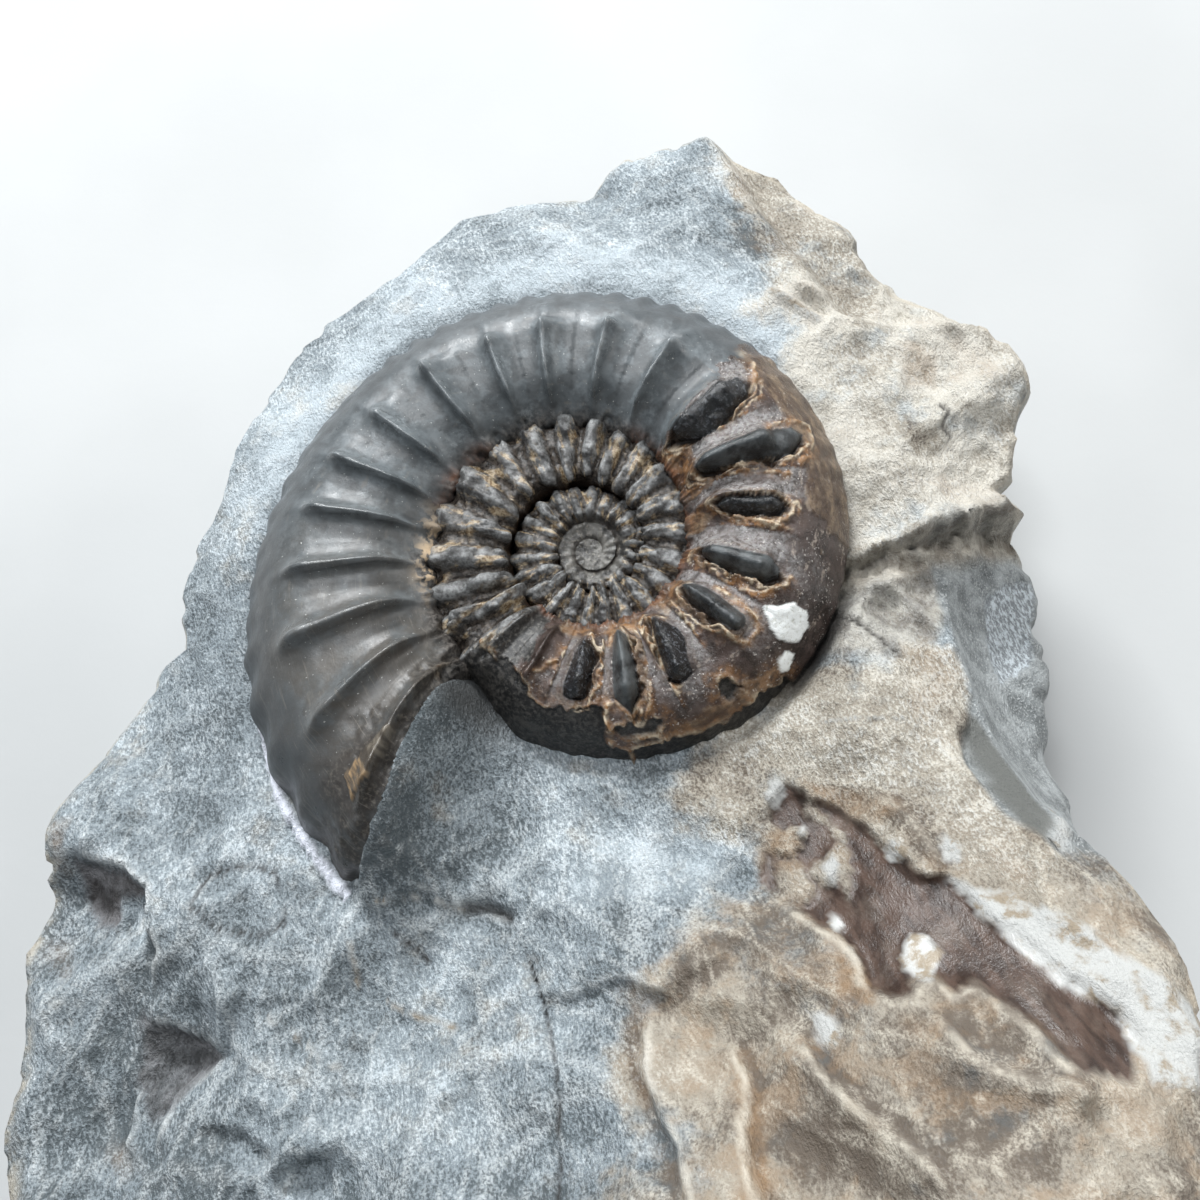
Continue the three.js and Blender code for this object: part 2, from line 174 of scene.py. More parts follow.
def line_distance(line, x, y):
    """Distance from a polyline, positive on its left, and how far along it, from 0 to 1."""
    points = np.array(line, float)
    lengths = np.hypot(*np.diff(points, axis=0).T)
    starts = np.concatenate([[0], np.cumsum(lengths)])
    best = np.full(np.shape(x), 1e9)
    side, along = best.copy(), np.zeros(np.shape(x))
    for (ax, ay), (bx, by), length, start in zip(points, points[1:], lengths, starts):
        ex, ey = (bx - ax) / length, (by - ay) / length
        t = np.clip((x - ax) * ex + (y - ay) * ey, 0, length)
        dx, dy = x - ax - t * ex, y - ay - t * ey
        away = np.hypot(dx, dy)
        nearer = away < best
        side = np.where(nearer, np.where(ex * dy - ey * dx < 0, -away, away), side)
        along = np.where(nearer, (start + t) / starts[-1], along)
        best = np.minimum(best, away)
    return side, along


def inside_depth(outline, x, y):
    """Signed distance to a closed outline: positive inside."""
    points = np.array(outline, float)
    away = np.abs(line_distance(np.vstack([points, points[:1]]), x, y)[0])
    inside = np.zeros(np.shape(x), bool)
    for a, b in zip(points, np.roll(points, -1, axis=0)):
        crosses = (a[1] > y) != (b[1] > y)
        inside ^= crosses & (x < (b[0] - a[0]) * (y - a[1]) / (b[1] - a[1] + 1e-12) + a[0])
    return np.where(inside, away, -away)


# ---- the shell's growth ----

KEEL_RADIUS = [  # against the coiling angle
    (-1260, 0.45), (-900, 1.2), (-540, 2.6), (-360, 3.9), (-240, 5.5), (-180, 6.1), (-120, 6.25), (0, 7.6),
    (120, 11.2), (225, 13.5), (245, 14.7), (270, 15.6), (360, 18.7), (450, 21.5), (495, 23.2), (540, 26.0),
    (585, 29.8),
]
OVERLAP = 0.92  # a seam's radius, as a share of the keel's one turn below
HALF_THICKNESS = 0.43  # as a share of the whorl's height
FIRST_ANGLE, LAST_ANGLE = -1100.0, 585.0
LAST_WHORL = LAST_ANGLE - 360  # where the whorl that lies outermost begins
EYE_RADIUS = 2.55  # the smooth first whorls, which have no ribs
LIP_START, LIP_END = 587.5, 590.5  # between these angles the broken end dips into the stone
LIP_DIP = 1.8
SLANT_START = 557.0  # from here the sections turn to the slant of the broken end
LIP_SLANT, LIP_HOOK = 16.0, 3.6


def keel_radius(angle):
    return np.exp(curve([(a, math.log(r)) for a, r in KEEL_RADIUS], np.minimum(angle, LAST_ANGLE)))


def seam_radius(angle):
    """The seam lies on the turn below; the first turn closes over the axis, so the middle has no hole."""
    closing = smooth(FIRST_ANGLE + 330, FIRST_ANGLE + 430, angle)
    return OVERLAP * closing * keel_radius(np.asarray(angle, float) - 360)


def lip_lean(share):
    """How far ahead of the seam the broken end is, in degrees."""
    return LIP_SLANT * share - LIP_HOOK * smooth(0.55, 1, share)


def lean(angle, share):
    return smooth(SLANT_START, LAST_ANGLE, angle) * lip_lean(share)


def shell_plan(angle, share):
    """x and y of a place on the shell."""
    radius = mix(seam_radius(angle), keel_radius(angle), share)
    turn = np.radians(angle + lean(angle, share))
    return radius * np.cos(turn), radius * np.sin(turn)


def plan_outline(places):
    return [tuple(float(c) for c in shell_plan(a, s)) for a, s in places]


# Height of the section against share, as a share of the half thickness.
OUTER_SECTION = [
    (0, 0.22), (0.03, 0.43), (0.07, 0.62), (0.12, 0.77), (0.2, 0.91), (0.33, 0.99), (0.5, 1), (0.6, 0.97),
    (0.7, 0.87), (0.8, 0.69), (0.9, 0.41), (0.97, 0.14), (1, 0),
]
INNER_SECTION = [
    (0, 0.3), (0.04, 0.62), (0.1, 0.84), (0.2, 0.96), (0.4, 1), (0.6, 0.99), (0.72, 0.95), (0.82, 0.86),
    (0.92, 0.68), (1, 0.3),
]


def section_level(angle, share):
    outer, inner = curve(OUTER_SECTION, share), curve(INNER_SECTION, share)
    return mix(inner, outer, smooth(LAST_WHORL - 25, LAST_WHORL + 15, angle))


def in_eye(angle, radius):
    return smooth(EYE_RADIUS + 0.25, EYE_RADIUS - 0.3, radius) * (np.asarray(angle) < 0)


# ---- the shell's ribs ----

RIB_ANGLES = [
    584, 573, 562, 549, 536, 524, 511, 495, 478, 464, 447, 429, 410, 390, 374, 351, 329, 306, 288, 270, 251,
    232, 215, 203, 188, 172, 155, 137, 120, 105, 91, 80, 66, 49, 32, 12, -8, -26, -43, -60, -74, -88, -103,
    -118, -135,
]
INNER_RIB_STEP = 16.5
INNER_RIB_END = -505
RIB_HEIGHT = 0.1  # as a share of the whorl's height
RIB_END = 0.57  # share at which the outer ribs end
RIB_PIVOT = 0.38  # share at which a leaning rib stands at its own angle

# How far a rib's lower end lies ahead of its upper end, in degrees over the whole height of the whorl.
RIB_LEAN = [(-540, 6), (225, 8), (300, 10), (420, 11), (470, 6), (520, 4), (550, 1), (585, 0)]
WORN_FROM, WORN_TO = 262, 414  # the ribs are broad and worn between these angles


def rib_crests():
    inner = np.arange(RIB_ANGLES[-1] - INNER_RIB_STEP, INNER_RIB_END, -INNER_RIB_STEP)
    return np.array(sorted([*RIB_ANGLES, *inner]), float)


def rib_offset(angle, share):
    """Signed share of the rib spacing from the nearest crest, and that crest's number."""
    crests = rib_crests()
    straight = angle + curve(RIB_LEAN, angle) * (share - RIB_PIVOT)
    n = np.clip(np.searchsorted(crests, straight) - 1, 0, len(crests) - 2)
    t = (straight - crests[n]) / np.diff(crests)[n]
    nearer = t > 0.5
    return np.clip(np.where(nearer, t - 1, t), -0.5, 0.5), n + nearer


def outer_ribs(offset, number, angle, share):
    """Sharp ribs with wide hollows between them, which end at the shoulder; broader on the worn side."""
    worn = window((WORN_FROM - 12, WORN_FROM), (WORN_TO, WORN_TO + 14), angle)
    late = smooth(500, 560, angle)
    wobble = lattice(number, 3.0, 1.0)
    width = mix(0.14, 0.068, smooth(-0.03, 0.03, offset)) + 0.012 * lattice(number, 5.0, 2.0)
    crest = mix(1.12 / (1 + np.square(offset / width)), 1.05 * bell(offset / 0.24), worn)
    end = RIB_END + 0.02 * wobble + 0.05 * late
    softness = mix(0.05, 0.1, late)
    span = window((0.02, 0.22), (end - softness, end + softness), share)
    tail = 0.16 * window((0.5, 0.6), (0.62, 0.84), share) * (1 - worn)
    hollow = mix(0.44, 0.55, worn) * window((0.0, 0.2), (0.36, 0.84), share) * (1 - 0.4 * late)
    knob = 0.14 * bell(offset / 0.13) * bell((share - end + 0.06) / 0.035) * (1 - worn) * (1 - late)
    return ((1 + 0.12 * wobble - 0.2 * late) * span + tail) * crest - hollow + knob


def inner_ribs(offset, number, angle, share):
    """Thick blunt ribs with dark gaps between them, chipped unevenly, which stop short of both seams."""
    width = 0.29 + 0.05 * lattice(number, 9.0, 4.0) + 0.05 * noise(share * 4, number * 3.1)
    skew = 0.07 * noise(share * 3, number * 1.7, 5.0)
    side = np.abs(offset + skew) / width
    bar = smooth(1.5, 0.5, side)
    far_side = bell(((angle + 720) % 360 - 115) / 55)
    begins = 0.03 + 0.06 * far_side + 0.03 * lattice(number, 2.0, 6.0)
    ends = 0.99 - 0.09 * far_side + 0.04 * lattice(number, 4.0, 8.0)
    span = smooth(begins - 0.05, begins + 0.06, share) * smooth(ends + 0.07, ends - 0.09, share)
    chipped = smooth(-0.05, 0.25, fractal(angle / 7, share * 3.6, 2.0, 3))
    top = 1 - 0.6 * chipped + 0.3 * noise(share * 6, number * 2.3, 1.0) + 0.15 * lattice(number, 7.0, 3.0)
    return 1.12 * mix(-0.45, top, bar * span)


def ribs(angle, share):
    """Relief of the ribs as a share of the whorl's height."""
    offset, number = rib_offset(angle, share)
    outer = smooth(LAST_WHORL - 4, LAST_WHORL + 14, angle)
    inner_form = inner_ribs(offset, number, angle, share)
    outer_form = outer_ribs(offset, number, angle, share)
    return RIB_HEIGHT * mix(inner_form, outer_form, outer)


# ---- the worn right side: ribs broken open to their stone cores ----

# Outlines of the openings, and how coarse each core is.
OPENINGS = [
    ([(264, 0.6), (266.5, 0.62), (271, 0.6), (272, 0.5), (274.5, 0.4), (276, 0.28), (274.5, 0.19),
      (271, 0.17), (267.5, 0.2), (266, 0.3), (264.5, 0.4), (263.5, 0.5)], 1.0),
    ([(285.8, 0.71), (287.5, 0.66), (289.5, 0.6), (290.8, 0.5), (291.8, 0.38), (292.6, 0.27), (293.5, 0.15),
      (290, 0.11), (286.5, 0.14), (284.5, 0.25), (283, 0.38), (282, 0.5), (282, 0.6), (284, 0.66)], 0.1),
    ([(301, 0.58), (303, 0.62), (305.5, 0.62), (308, 0.6), (309.5, 0.5), (312, 0.42), (314, 0.36),
      (315, 0.28), (313, 0.2), (310, 0.14), (307, 0.17), (305, 0.25), (303, 0.35), (301.8, 0.45)], 1.0),
    ([(325.8, 0.54), (327, 0.58), (329.5, 0.59), (331.7, 0.56), (333, 0.45), (334.5, 0.35), (335.5, 0.25),
      (335.5, 0.18), (333, 0.13), (330, 0.15), (327.5, 0.2), (326.6, 0.3), (326, 0.42)], 0.45),
    ([(345, 0.58), (347, 0.64), (349.5, 0.62), (351.5, 0.56), (352.3, 0.42), (353.2, 0.3), (354, 0.2),
      (353, 0.13), (350, 0.13), (347.5, 0.18), (346, 0.28), (344.8, 0.4), (344.3, 0.5)], 0.05),
    ([(365.5, 0.58), (367.5, 0.62), (369.5, 0.59), (371, 0.48), (372.5, 0.36), (373.8, 0.25), (373, 0.18),
      (370.5, 0.22), (368, 0.32), (366.3, 0.44)], 0.7),
    ([(382, 0.7), (384, 0.76), (386.5, 0.8), (389, 0.75), (390.4, 0.62), (391.3, 0.48), (392.6, 0.35),
      (394.2, 0.22), (393, 0.15), (390, 0.14), (388, 0.2), (386.3, 0.3), (385, 0.4), (383.5, 0.52),
      (381.8, 0.62)], 0.1),
    ([(401.5, 0.55), (402, 0.64), (404.5, 0.69), (408, 0.66), (409.8, 0.52), (410.5, 0.38), (411.8, 0.25),
      (412.5, 0.15), (409, 0.11), (405, 0.15), (402, 0.22), (400.3, 0.33), (400.5, 0.45)], 0.8),
]

# Raised edges of torn shell: places along each, its height and its half width in millimetres.
TORN_EDGES = [
    ([(323.5, 0.5), (324, 0.6), (326.5, 0.67), (330, 0.68), (333.3, 0.62), (335, 0.5), (336.5, 0.4),
      (338, 0.26)], 0.22, 0.2),
    ([(341.6, 0.52), (343, 0.62), (345.5, 0.69), (348.5, 0.71)], 0.2, 0.16),
    ([(342.5, 0.5), (344.3, 0.45), (344.8, 0.39), (343, 0.3)], 0.2, 0.14),
    ([(360.5, 0.67), (362, 0.58), (362.5, 0.5), (364.5, 0.42), (366, 0.33), (368.5, 0.24), (371.5, 0.16)],
      0.3, 0.13),
    ([(376, 0.68), (378.5, 0.57), (380, 0.46), (382.3, 0.4), (385, 0.36), (387, 0.24)], 0.28, 0.16),
    ([(382.3, 0.62), (383.3, 0.52), (384.6, 0.42), (385.6, 0.37)], 0.24, 0.11),
    ([(378.5, 0.7), (381, 0.8), (385, 0.84), (388.7, 0.86), (390.2, 0.8), (391.6, 0.66), (391, 0.58)],
      0.24, 0.17),
    ([(400, 0.33), (400.2, 0.48), (401.3, 0.6), (403.5, 0.71), (406.5, 0.76), (409, 0.82)], 0.3, 0.18),
    ([(277.5, 0.9), (278.7, 0.8), (277.2, 0.71), (279, 0.64), (281.5, 0.61)], 0.22, 0.17),
    ([(281, 0.6), (283.5, 0.67), (285.7, 0.73), (287.7, 0.68), (289.8, 0.62)], 0.2, 0.13),
    ([(250.5, 0.5), (253.5, 0.46), (255.5, 0.39), (260, 0.33)], 0.25, 0.14),
    ([(300.5, 0.5), (302, 0.37), (304.5, 0.23), (307.5, 0.15), (311, 0.11), (315, 0.2)], 0.18, 0.14),
    ([(293, 0.3), (294, 0.18), (291.5, 0.1), (286, 0.1), (283, 0.2)], 0.15, 0.13),
]

# Where the shell is gone from the venter, down to black stone.
BARE_PATCHES = [
    [(225, 0.62), (240, 0.56), (250, 0.62), (251, 0.7), (261, 0.72), (268, 0.66), (277, 0.66), (278, 0.78),
     (277, 0.88), (282, 0.94), (282, 1.08), (268, 1.08), (254, 1.08), (240, 1.08), (225, 1.08)],
    [(279.5, 0.8), (281.5, 0.86), (286, 0.85), (290.5, 0.86), (293, 0.79), (289.5, 0.75), (287, 0.71),
     (284, 0.78)],
    [(283, 0.93), (291, 0.9), (300, 0.94), (312, 0.93), (326, 0.95), (327, 1.08), (312, 1.08), (297, 1.08),
     (283, 1.08)],
    [(310.7, 0.8), (311.5, 0.84), (313.7, 0.86), (316.5, 0.83), (315.5, 0.77), (312, 0.72)],
]
CALCITE_PATCHES = [
    [(331.6, 0.8), (332.5, 0.73), (335, 0.67), (337.3, 0.63), (339.4, 0.7), (341.5, 0.76), (341.8, 0.85),
     (339, 0.895), (334, 0.9), (332.5, 0.86)],
    [(325.7, 0.915), (328, 0.93), (331.5, 0.915), (330.5, 0.865), (327.5, 0.86)],
]

# Broken layers of shell climb away from an opening: how far out each layer's edge is, and how thick it is.
TORN_LAYERS = [(0.1, 0.2), (0.45, 0.13)]
CORE_HALF_WIDTH = 1.15
WORN_MASKS = ("core", "coarse", "recess", "edge", "bare", "calcite", "film", "amber", "haze_and_sheen")


def nearby(outline, x, y, reach):
    """Which places are within reach of an outline's box."""
    points = np.array(outline)
    low, high = points.min(0) - reach, points.max(0) + reach
    return (x > low[0]) & (x < high[0]) & (y > low[1]) & (y < high[1])


def ragged_depth(outline, x, y, coarse, fine):
    return inside_depth(outline, x, y) + coarse * lumps(x, y, 0.9, 2.0, 2) + fine * lumps(x, y, 0.3, 7.0, 2)


def torn_layers(x, y, depth):
    """Relief of the layers round an opening, their light edges and the painted shadows under those."""
    relief, edges, shadows = np.zeros_like(x), np.zeros_like(x), np.zeros_like(x)
    for n, (out, thick) in enumerate(TORN_LAYERS):
        beyond = -depth - out + 0.36 * lumps(x, y, 0.9, 30.0 + 6 * n, 3)
        whole = smooth(-0.22, 0.12, lumps(x, y, 1.3, 50.0 + 6 * n, 2))
        relief += whole * thick * smooth(-0.06, 0.05, beyond) * np.exp(-np.maximum(0, beyond) / 0.7)
        edges = np.maximum(edges, whole * bell((beyond - 0.06) / 0.085))
        shadows = np.maximum(shadows, whole * bell((beyond + 0.12) / 0.08))
    return relief, edges, shadows


class WornSide:
    """Relief in millimetres and masks of the worn side, laid on one opening, edge and patch at a time."""

    def __init__(self, angle, share, x, y):
        self.angle, self.share, self.x, self.y = angle, share, x, y
        self.relief = np.zeros_like(x)
        self.masks = {name: np.zeros_like(x) for name in WORN_MASKS}
        self.on_whorl = (angle > LAST_WHORL) & (share > 0.02)
        self.opening = np.full_like(x, -FAR)  # how far inside the nearest opening a place is
        # Shell overhangs the core on the side away from the far rim, and lies flush on the other.
        offset, _ = rib_offset(angle, share)
        self.overhang = np.where(angle < 300, smooth(-0.05, 0.12, offset), smooth(0.05, -0.12, offset))

    def around(self, places, reach):
        """A line or outline in plan, which places on the whorl are near it, and their x and y."""
        line = plan_outline(places)
        near = nearby(line, self.x, self.y, reach) & self.on_whorl
        return line, near, self.x[near], self.y[near]

    def lay(self, name, where, values):
        self.masks[name][where] = np.maximum(self.masks[name][where], values)

    def open_rib(self, places, coarse):
        """Layers of torn shell, the recess inside them and the rib's stone core."""
        outline, near, x, y = self.around(places, 2.5)
        over = self.overhang[near]
        core_depth = inside_depth(outline, x, y) + 0.05 * lumps(x, y, 0.8, 3.0, 2)
        ragged = 0.42 * lumps(x, y, 1.1, 2.0, 2) + 0.16 * lumps(x, y, 0.35, 7.0, 3)
        depth = core_depth + mix(-0.03, 0.22, over) + mix(0.15, 1, over) * ragged
        self.opening[near] = np.maximum(self.opening[near], depth)
        layered, edges, shadows = torn_layers(x, y, depth)
        hole = smooth(-0.03, 0.06, depth)
        recess = mix(-0.22, -0.62, over) + 0.2 * lumps(x, y, 0.3, 5.0, 3)
        inside = smooth(-0.05, 0.03, core_depth)
        bar = np.sqrt(1 - np.square(1 - clamp01(core_depth / CORE_HALF_WIDTH)))
        grain = coarse * (0.26 * lumps(x, y, 0.5, 3.0, 3) - 0.1)
        dome = mix(-0.15, -0.5, over) + mix(0.62, 1.02, over) * bar + grain
        self.relief[near] += mix(mix(over * layered, recess, hole), dome, inside)
        self.lay("core", near, inside)
        self.lay("coarse", near, coarse * inside)
        # The recess mask is painted shade: dark in the hole round the core and painted shadows under the torn
        # layers.
        self.lay("recess", near, np.maximum(hole, 0.75 * over * shadows))
        self.lay("edge", near, edges * mix(0.12, 1, over) * (1 - hole))
        torn = smooth(-0.3, 0.3, lumps(x, y, 1.3, 4.0, 3))
        self.lay("amber", near, over * torn * bell((depth + 0.55) / 0.45))
        # Pale hazing on the side that faces the light: partly a pale film, partly painted sheen.
        haze_and_sheen = mix(0.35, 1, smooth(312, 322, self.angle[near])) * (1 - over)
        self.lay("haze_and_sheen", near, haze_and_sheen * bell((depth + 0.7) / 1.0))

    def raise_edge(self, places, height, width):
        """A raised edge of torn shell."""
        line, near, x, y = self.around(places, 1.5)
        wander = 0.16 * lumps(x, y, 0.8, 9.0, 3)
        away, along = line_distance(line, x + wander, y - wander)
        ragged = 0.2 + 0.8 * smooth(-0.5, 0.3, lumps(x, y, 0.5, 12.0, 2))
        ends = window((0, 0.08), (0.92, 1), along)
        self.relief[near] += height * bell(away / width) * ends * ragged
        self.lay("edge", near, 1.1 * bell(away / (0.7 * width)) * ends * ragged)
        self.lay("amber", near, 0.8 * bell(away / (2.2 * width)) * ends)

    def strip_shell(self, places):
        """A patch where black stone shows, with a torn edge round it."""
        outline, near, x, y = self.around(places, 1.5)
        depth = ragged_depth(outline, x, y, 0.35, 0.15)
        inside = smooth(-0.04, 0.08, depth)
        torn = smooth(-0.4, 0.4, lumps(x, y, 1.1, 6.0, 3))
        sunk = 0.28 * lumps(x, y, 1.8, 16.0, 4) - 0.26
        self.relief[near] += sunk * inside + 0.16 * torn * bell((depth + 0.13) / 0.14)
        self.lay("bare", near, inside)
        self.lay("edge", near, 0.9 * torn * bell((depth + 0.1) / 0.12))
        self.lay("amber", near, 0.5 * bell((depth + 0.5) / 0.5))

    def lay_calcite(self, places):
        """A thin patch of white calcite."""
        outline, near, x, y = self.around(places, 1.0)
        inside = smooth(-0.05, 0.08, ragged_depth(outline, x, y, 0.14, 0.08))
        self.relief[near] += inside * (0.1 + 0.08 * lumps(x, y, 0.5, 8.0, 3))
        self.lay("calcite", near, inside)

    def cover_with_skin(self):
        """A skin of altered shell clings round the openings, along the seam and on the venter."""
        angle, share, x, y, masks = self.angle, self.share, self.x, self.y, self.masks
        on_worn = window((244, 262), (409, 417), angle) * (angle > LAST_WHORL)
        clinging = 0.8 * np.exp(np.minimum(0, self.opening + 0.1) / 0.6) * mix(0.3, 1, self.overhang)
        seam = 0.95 * smooth(0.26, 0.04, share) * (0.6 + 0.6 * noise(angle / 9, 4.0))
        venter = 0.75 * bell((share - 0.88) / 0.08) * window((286, 296), (326, 336), angle)
        upper_venter = 0.8 * smooth(0.66, 0.8, share) * smooth(348, 372, angle)
        patchy = 0.8 * lumps(x, y, 1.1, 14.0, 4)
        shown = np.maximum.reduce([clinging, seam, venter, upper_venter]) + 0.42 * patchy
        film = smooth(0.45, 0.62, shown) * on_worn * (1 - masks["recess"]) * (1 - masks["bare"])
        crackle = np.abs(lumps(x, y, 1.5, 21.0, 3))
        self.relief += film * (0.09 - 0.05 * smooth(0.07, 0.0, crackle))
        masks["film"] = film
        masks["haze_and_sheen"] *= on_worn
        masks["amber"] = np.maximum(masks["amber"], 0.8 * film * seam) * on_worn * (1 - masks["recess"])
        masks["edge"] = np.maximum(masks["edge"], 1.6 * film * (1 - film) * smooth(0.1, 0.5, patchy))


def worn_side(angle, share, x, y):
    """Relief and masks of the worn side, which are zero on the rest of the shell."""
    side = WornSide(angle, share, x, y)
    for places, coarse in OPENINGS:
        side.open_rib(places, coarse)
    for places, height, width in TORN_EDGES:
        side.raise_edge(places, height, width)
    for places in BARE_PATCHES:
        side.strip_shell(places)
    for places in CALCITE_PATCHES:
        side.lay_calcite(places)
    side.cover_with_skin()
    return side.relief, side.masks


# ---- the shell's mesh ----

BURIED_DEPTH, BURIED_SHRINK = 5.0, 0.88
FULL_DEPTH_RADIUS = 12  # whorls with a smaller keel radius are buried less deep
UNDERSIDE = [(1.0, 0.45), (0.85, 1.0), (0.3, 1.0)]  # share, and how far down of the buried depth
NOTCH_STEP = 6.2  # between the keel's notches, in degrees
# A flake of ochre shell at the broken end, in plan.
SHELL_FLAKE = [
    (-15.3, -17.7), (-14.2, -16.2), (-12.8, -14.7), (-11.6, -14.1), (-12.3, -16.0), (-13.2, -17.6),
    (-14.6, -19.2),
]
# Spans of coiling angle and the angle between sections in each; the last span's sections are the finest.
INNER_SPANS = [(FIRST_ANGLE, -500, 5.0), (-500, -140, 2.8), (-140, 213, 1.4)]
OUTER_SPANS = [(213, 236, 0.7), (236, 420, 0.47), (420, 570, 0.63), (570, LIP_END, 0.42)]
INNER_COLUMNS, OUTER_COLUMNS = 44, 104


def span_angles(spans):
    return np.concatenate([np.arange(*span) for span in spans])


def stitch(row_a, row_b):
    """Triangles of the band between two rows that hold different numbers of vertices."""
    a = b = 0
    made = []
    while a < len(row_a) - 1 or b < len(row_b) - 1:
        share_a, share_b = (a + 1) / (len(row_a) - 1), (b + 1) / (len(row_b) - 1)
        if a < len(row_a) - 1 and (b == len(row_b) - 1 or share_a <= share_b):
            made.append([row_a[a], row_a[a + 1], row_b[b]])
            a += 1
        else:
            made.append([row_a[a], row_b[b + 1], row_b[b]])
            b += 1
    return made


def tube_quads(ids):
    """Quads between each section and the next, right round the tube."""
    following = np.roll(ids, -1, axis=1)
    return np.stack([ids[:-1], following[:-1], following[1:], ids[1:]], -1).reshape(-1, 4).tolist()


def keel_notches(angle, share):
    """Relief of the keel's notches, which run a little way up the venter."""
    notch = np.cos(2 * math.pi * angle / NOTCH_STEP + 1.2 * noise(angle / 17, 0.5))
    depth = mix(0.07, 0.27, smooth(400, 425, angle)) * clamp01(0.7 + 0.6 * noise(angle / 12, 8.0))
    return notch * depth * smooth(0.76, 0.96, share)


def seam_lip(angle, share):
    """Relief of the broken lip with which a whorl overlaps the one inside it, and where its crust lies."""
    crumbs = 0.55 + 1.1 * fractal(angle * 0.35, share * 22, 3.0, 3)
    thick = smooth(418, 435, angle)
    width = mix(0.02, 0.034, thick)
    relief = mix(0.5, 0.75, thick) * bell((share - 0.03) / width) * crumbs
    crust = 1.3 * bell((share - 0.02) / (1.2 * width)) * (0.45 + 0.7 * crumbs)
    return relief, crust


def broken_end(angle, x, y):
    """Relief of the shell's scuffed end, the scuffed zone, and its flake of ochre shell."""
    scuffed = smooth(575, 583, angle + 4 * noise(x / 1.5, y / 1.5, 9.0))
    rough = 0.3 * lumps(x, y, 1.3, 17.0, 4) + 0.1 * lumps(x, y, 0.4, 3.0, 2)
    flake = inside_depth(SHELL_FLAKE, x, y) + 0.12 * lumps(x, y, 0.5, 4.0, 2)
    flake = smooth(-0.05, 0.08, flake) * (angle > 500)
    return scuffed * rough + 0.25 * flake, scuffed, flake


def shell_relief(angle, share, height, x, y):
    """Relief along the surface in millimetres, and the masks that the material reads."""
    outer = smooth(LAST_WHORL - 10, LAST_WHORL + 12, angle)
    inner = 1 - outer
    worn, masks = worn_side(angle, share, x, y)
    lip, crust = seam_lip(angle, share)
    end, masks["scuff"], masks["flake"] = broken_end(angle, x, y)
    rib_form = ribs(angle, share)
    relief = height * rib_form + worn + end + outer * (keel_notches(angle, share) + lip)

    # Growth lines follow the ribs, and inner whorls are striated along theirs and chipped.
    offset, number = rib_offset(angle, share)
    lines = fractal(offset * 8, share * 1.3 + number * 7.7, 3.0, 3)
    chips = lumps(x, y, 0.7, 6.0, 4)
    relief += (0.012 + 0.1 * inner) * lines * smooth(0.02, 0.1, share)
    relief += (0.012 + 0.34 * inner) * chips
    relief += 0.05 * outer * lumps(x, y, 2.2, 11.0, 3)
    masks["crust"] = clamp01(crust * outer)
    masks["lift"] = rib_form / RIB_HEIGHT + 0.7 * chips
    # Painted shade along the seams of the inner whorls.
    masks["recess"] = np.maximum(masks["recess"], inner * smooth(0.06, 0.02, share))
    masks["eye"] = in_eye(angle, np.hypot(x, y))
    return relief * (1 - masks["eye"]), masks


def eye_dish(angle, share, x, y):
    """Height of the dish that the first whorls make, and the groove along their seam."""
    radius = np.hypot(x, y)
    groove = bell((share - 0.05) / 0.16) * smooth(0.2, 0.8, radius)
    striae = 0.07 * np.cos(np.radians(angle) * 17) * smooth(0.6, 1.6, radius)
    dish = 0.42 + 0.38 * (radius / EYE_RADIUS) ** 2 - 0.26 * groove + striae
    return dish + 0.2 * lumps(x, y, 0.7, 3.0, 4), groove


def buried_side(angles):
    """Rows of the underside, which draws in from the plane of symmetry to a plain floor."""
    sunk = BURIED_DEPTH * clamp01(keel_radius(angles) / FULL_DEPTH_RADIUS)
    rows = []
    for share, depth in UNDERSIDE:
        x, y = shell_plan(angles, np.full_like(angles, share))
        draw = mix(1, BURIED_SHRINK, depth) if share > 0.5 else 1.0
        rows.append(np.stack([x * draw, y * draw, -sunk * depth], -1))
    return np.stack(rows, 1)


def shell_part(angles, columns):
    """Vertices of the sections at these angles, and their flags, both by section and column."""
    spread = np.linspace(0, 1, columns)
    angle, share = np.meshgrid(angles, spread * (0.85 + 0.15 * spread), indexing="ij")
    height = keel_radius(angle) - seam_radius(angle)
    x, y = shell_plan(angle, share)
    z = HALF_THICKNESS * height * section_level(angle, share)
    z = z - LIP_DIP * smooth(LIP_START, LIP_END, angle)

    # Relief stands square to the section, which rises by so much over a little of its share.
    step = 0.004
    rise = section_level(angle, share + step) - section_level(angle, share - step)
    rise = np.clip(HALF_THICKNESS * rise / (2 * step), -3.0, 3.0)
    upright = 1 / np.sqrt(1 + rise**2)
    relief, masks = shell_relief(angle, share, height, x, y)
    dish, groove = eye_dish(angle, share, x, y)
    # Painted shade in the groove of the eye.
    masks["recess"] = np.maximum(masks["recess"], 0.5 * groove * masks["eye"])
    z = mix(z, dish, masks["eye"]) + upright * relief
    outward = -rise * upright * relief
    turn = np.arctan2(y, x)
    top = np.stack([x + outward * np.cos(turn), y + outward * np.sin(turn), z], -1)

    hidden = ((0, 0), (0, len(UNDERSIDE)))
    flags = {name: np.pad(mask, hidden) for name, mask in masks.items()}
    flags["angle"] = np.pad(angle, hidden, mode="edge")
    flags["share"] = np.pad(share, hidden, mode="edge")
    return np.concatenate([top, buried_side(angles)], 1), flags


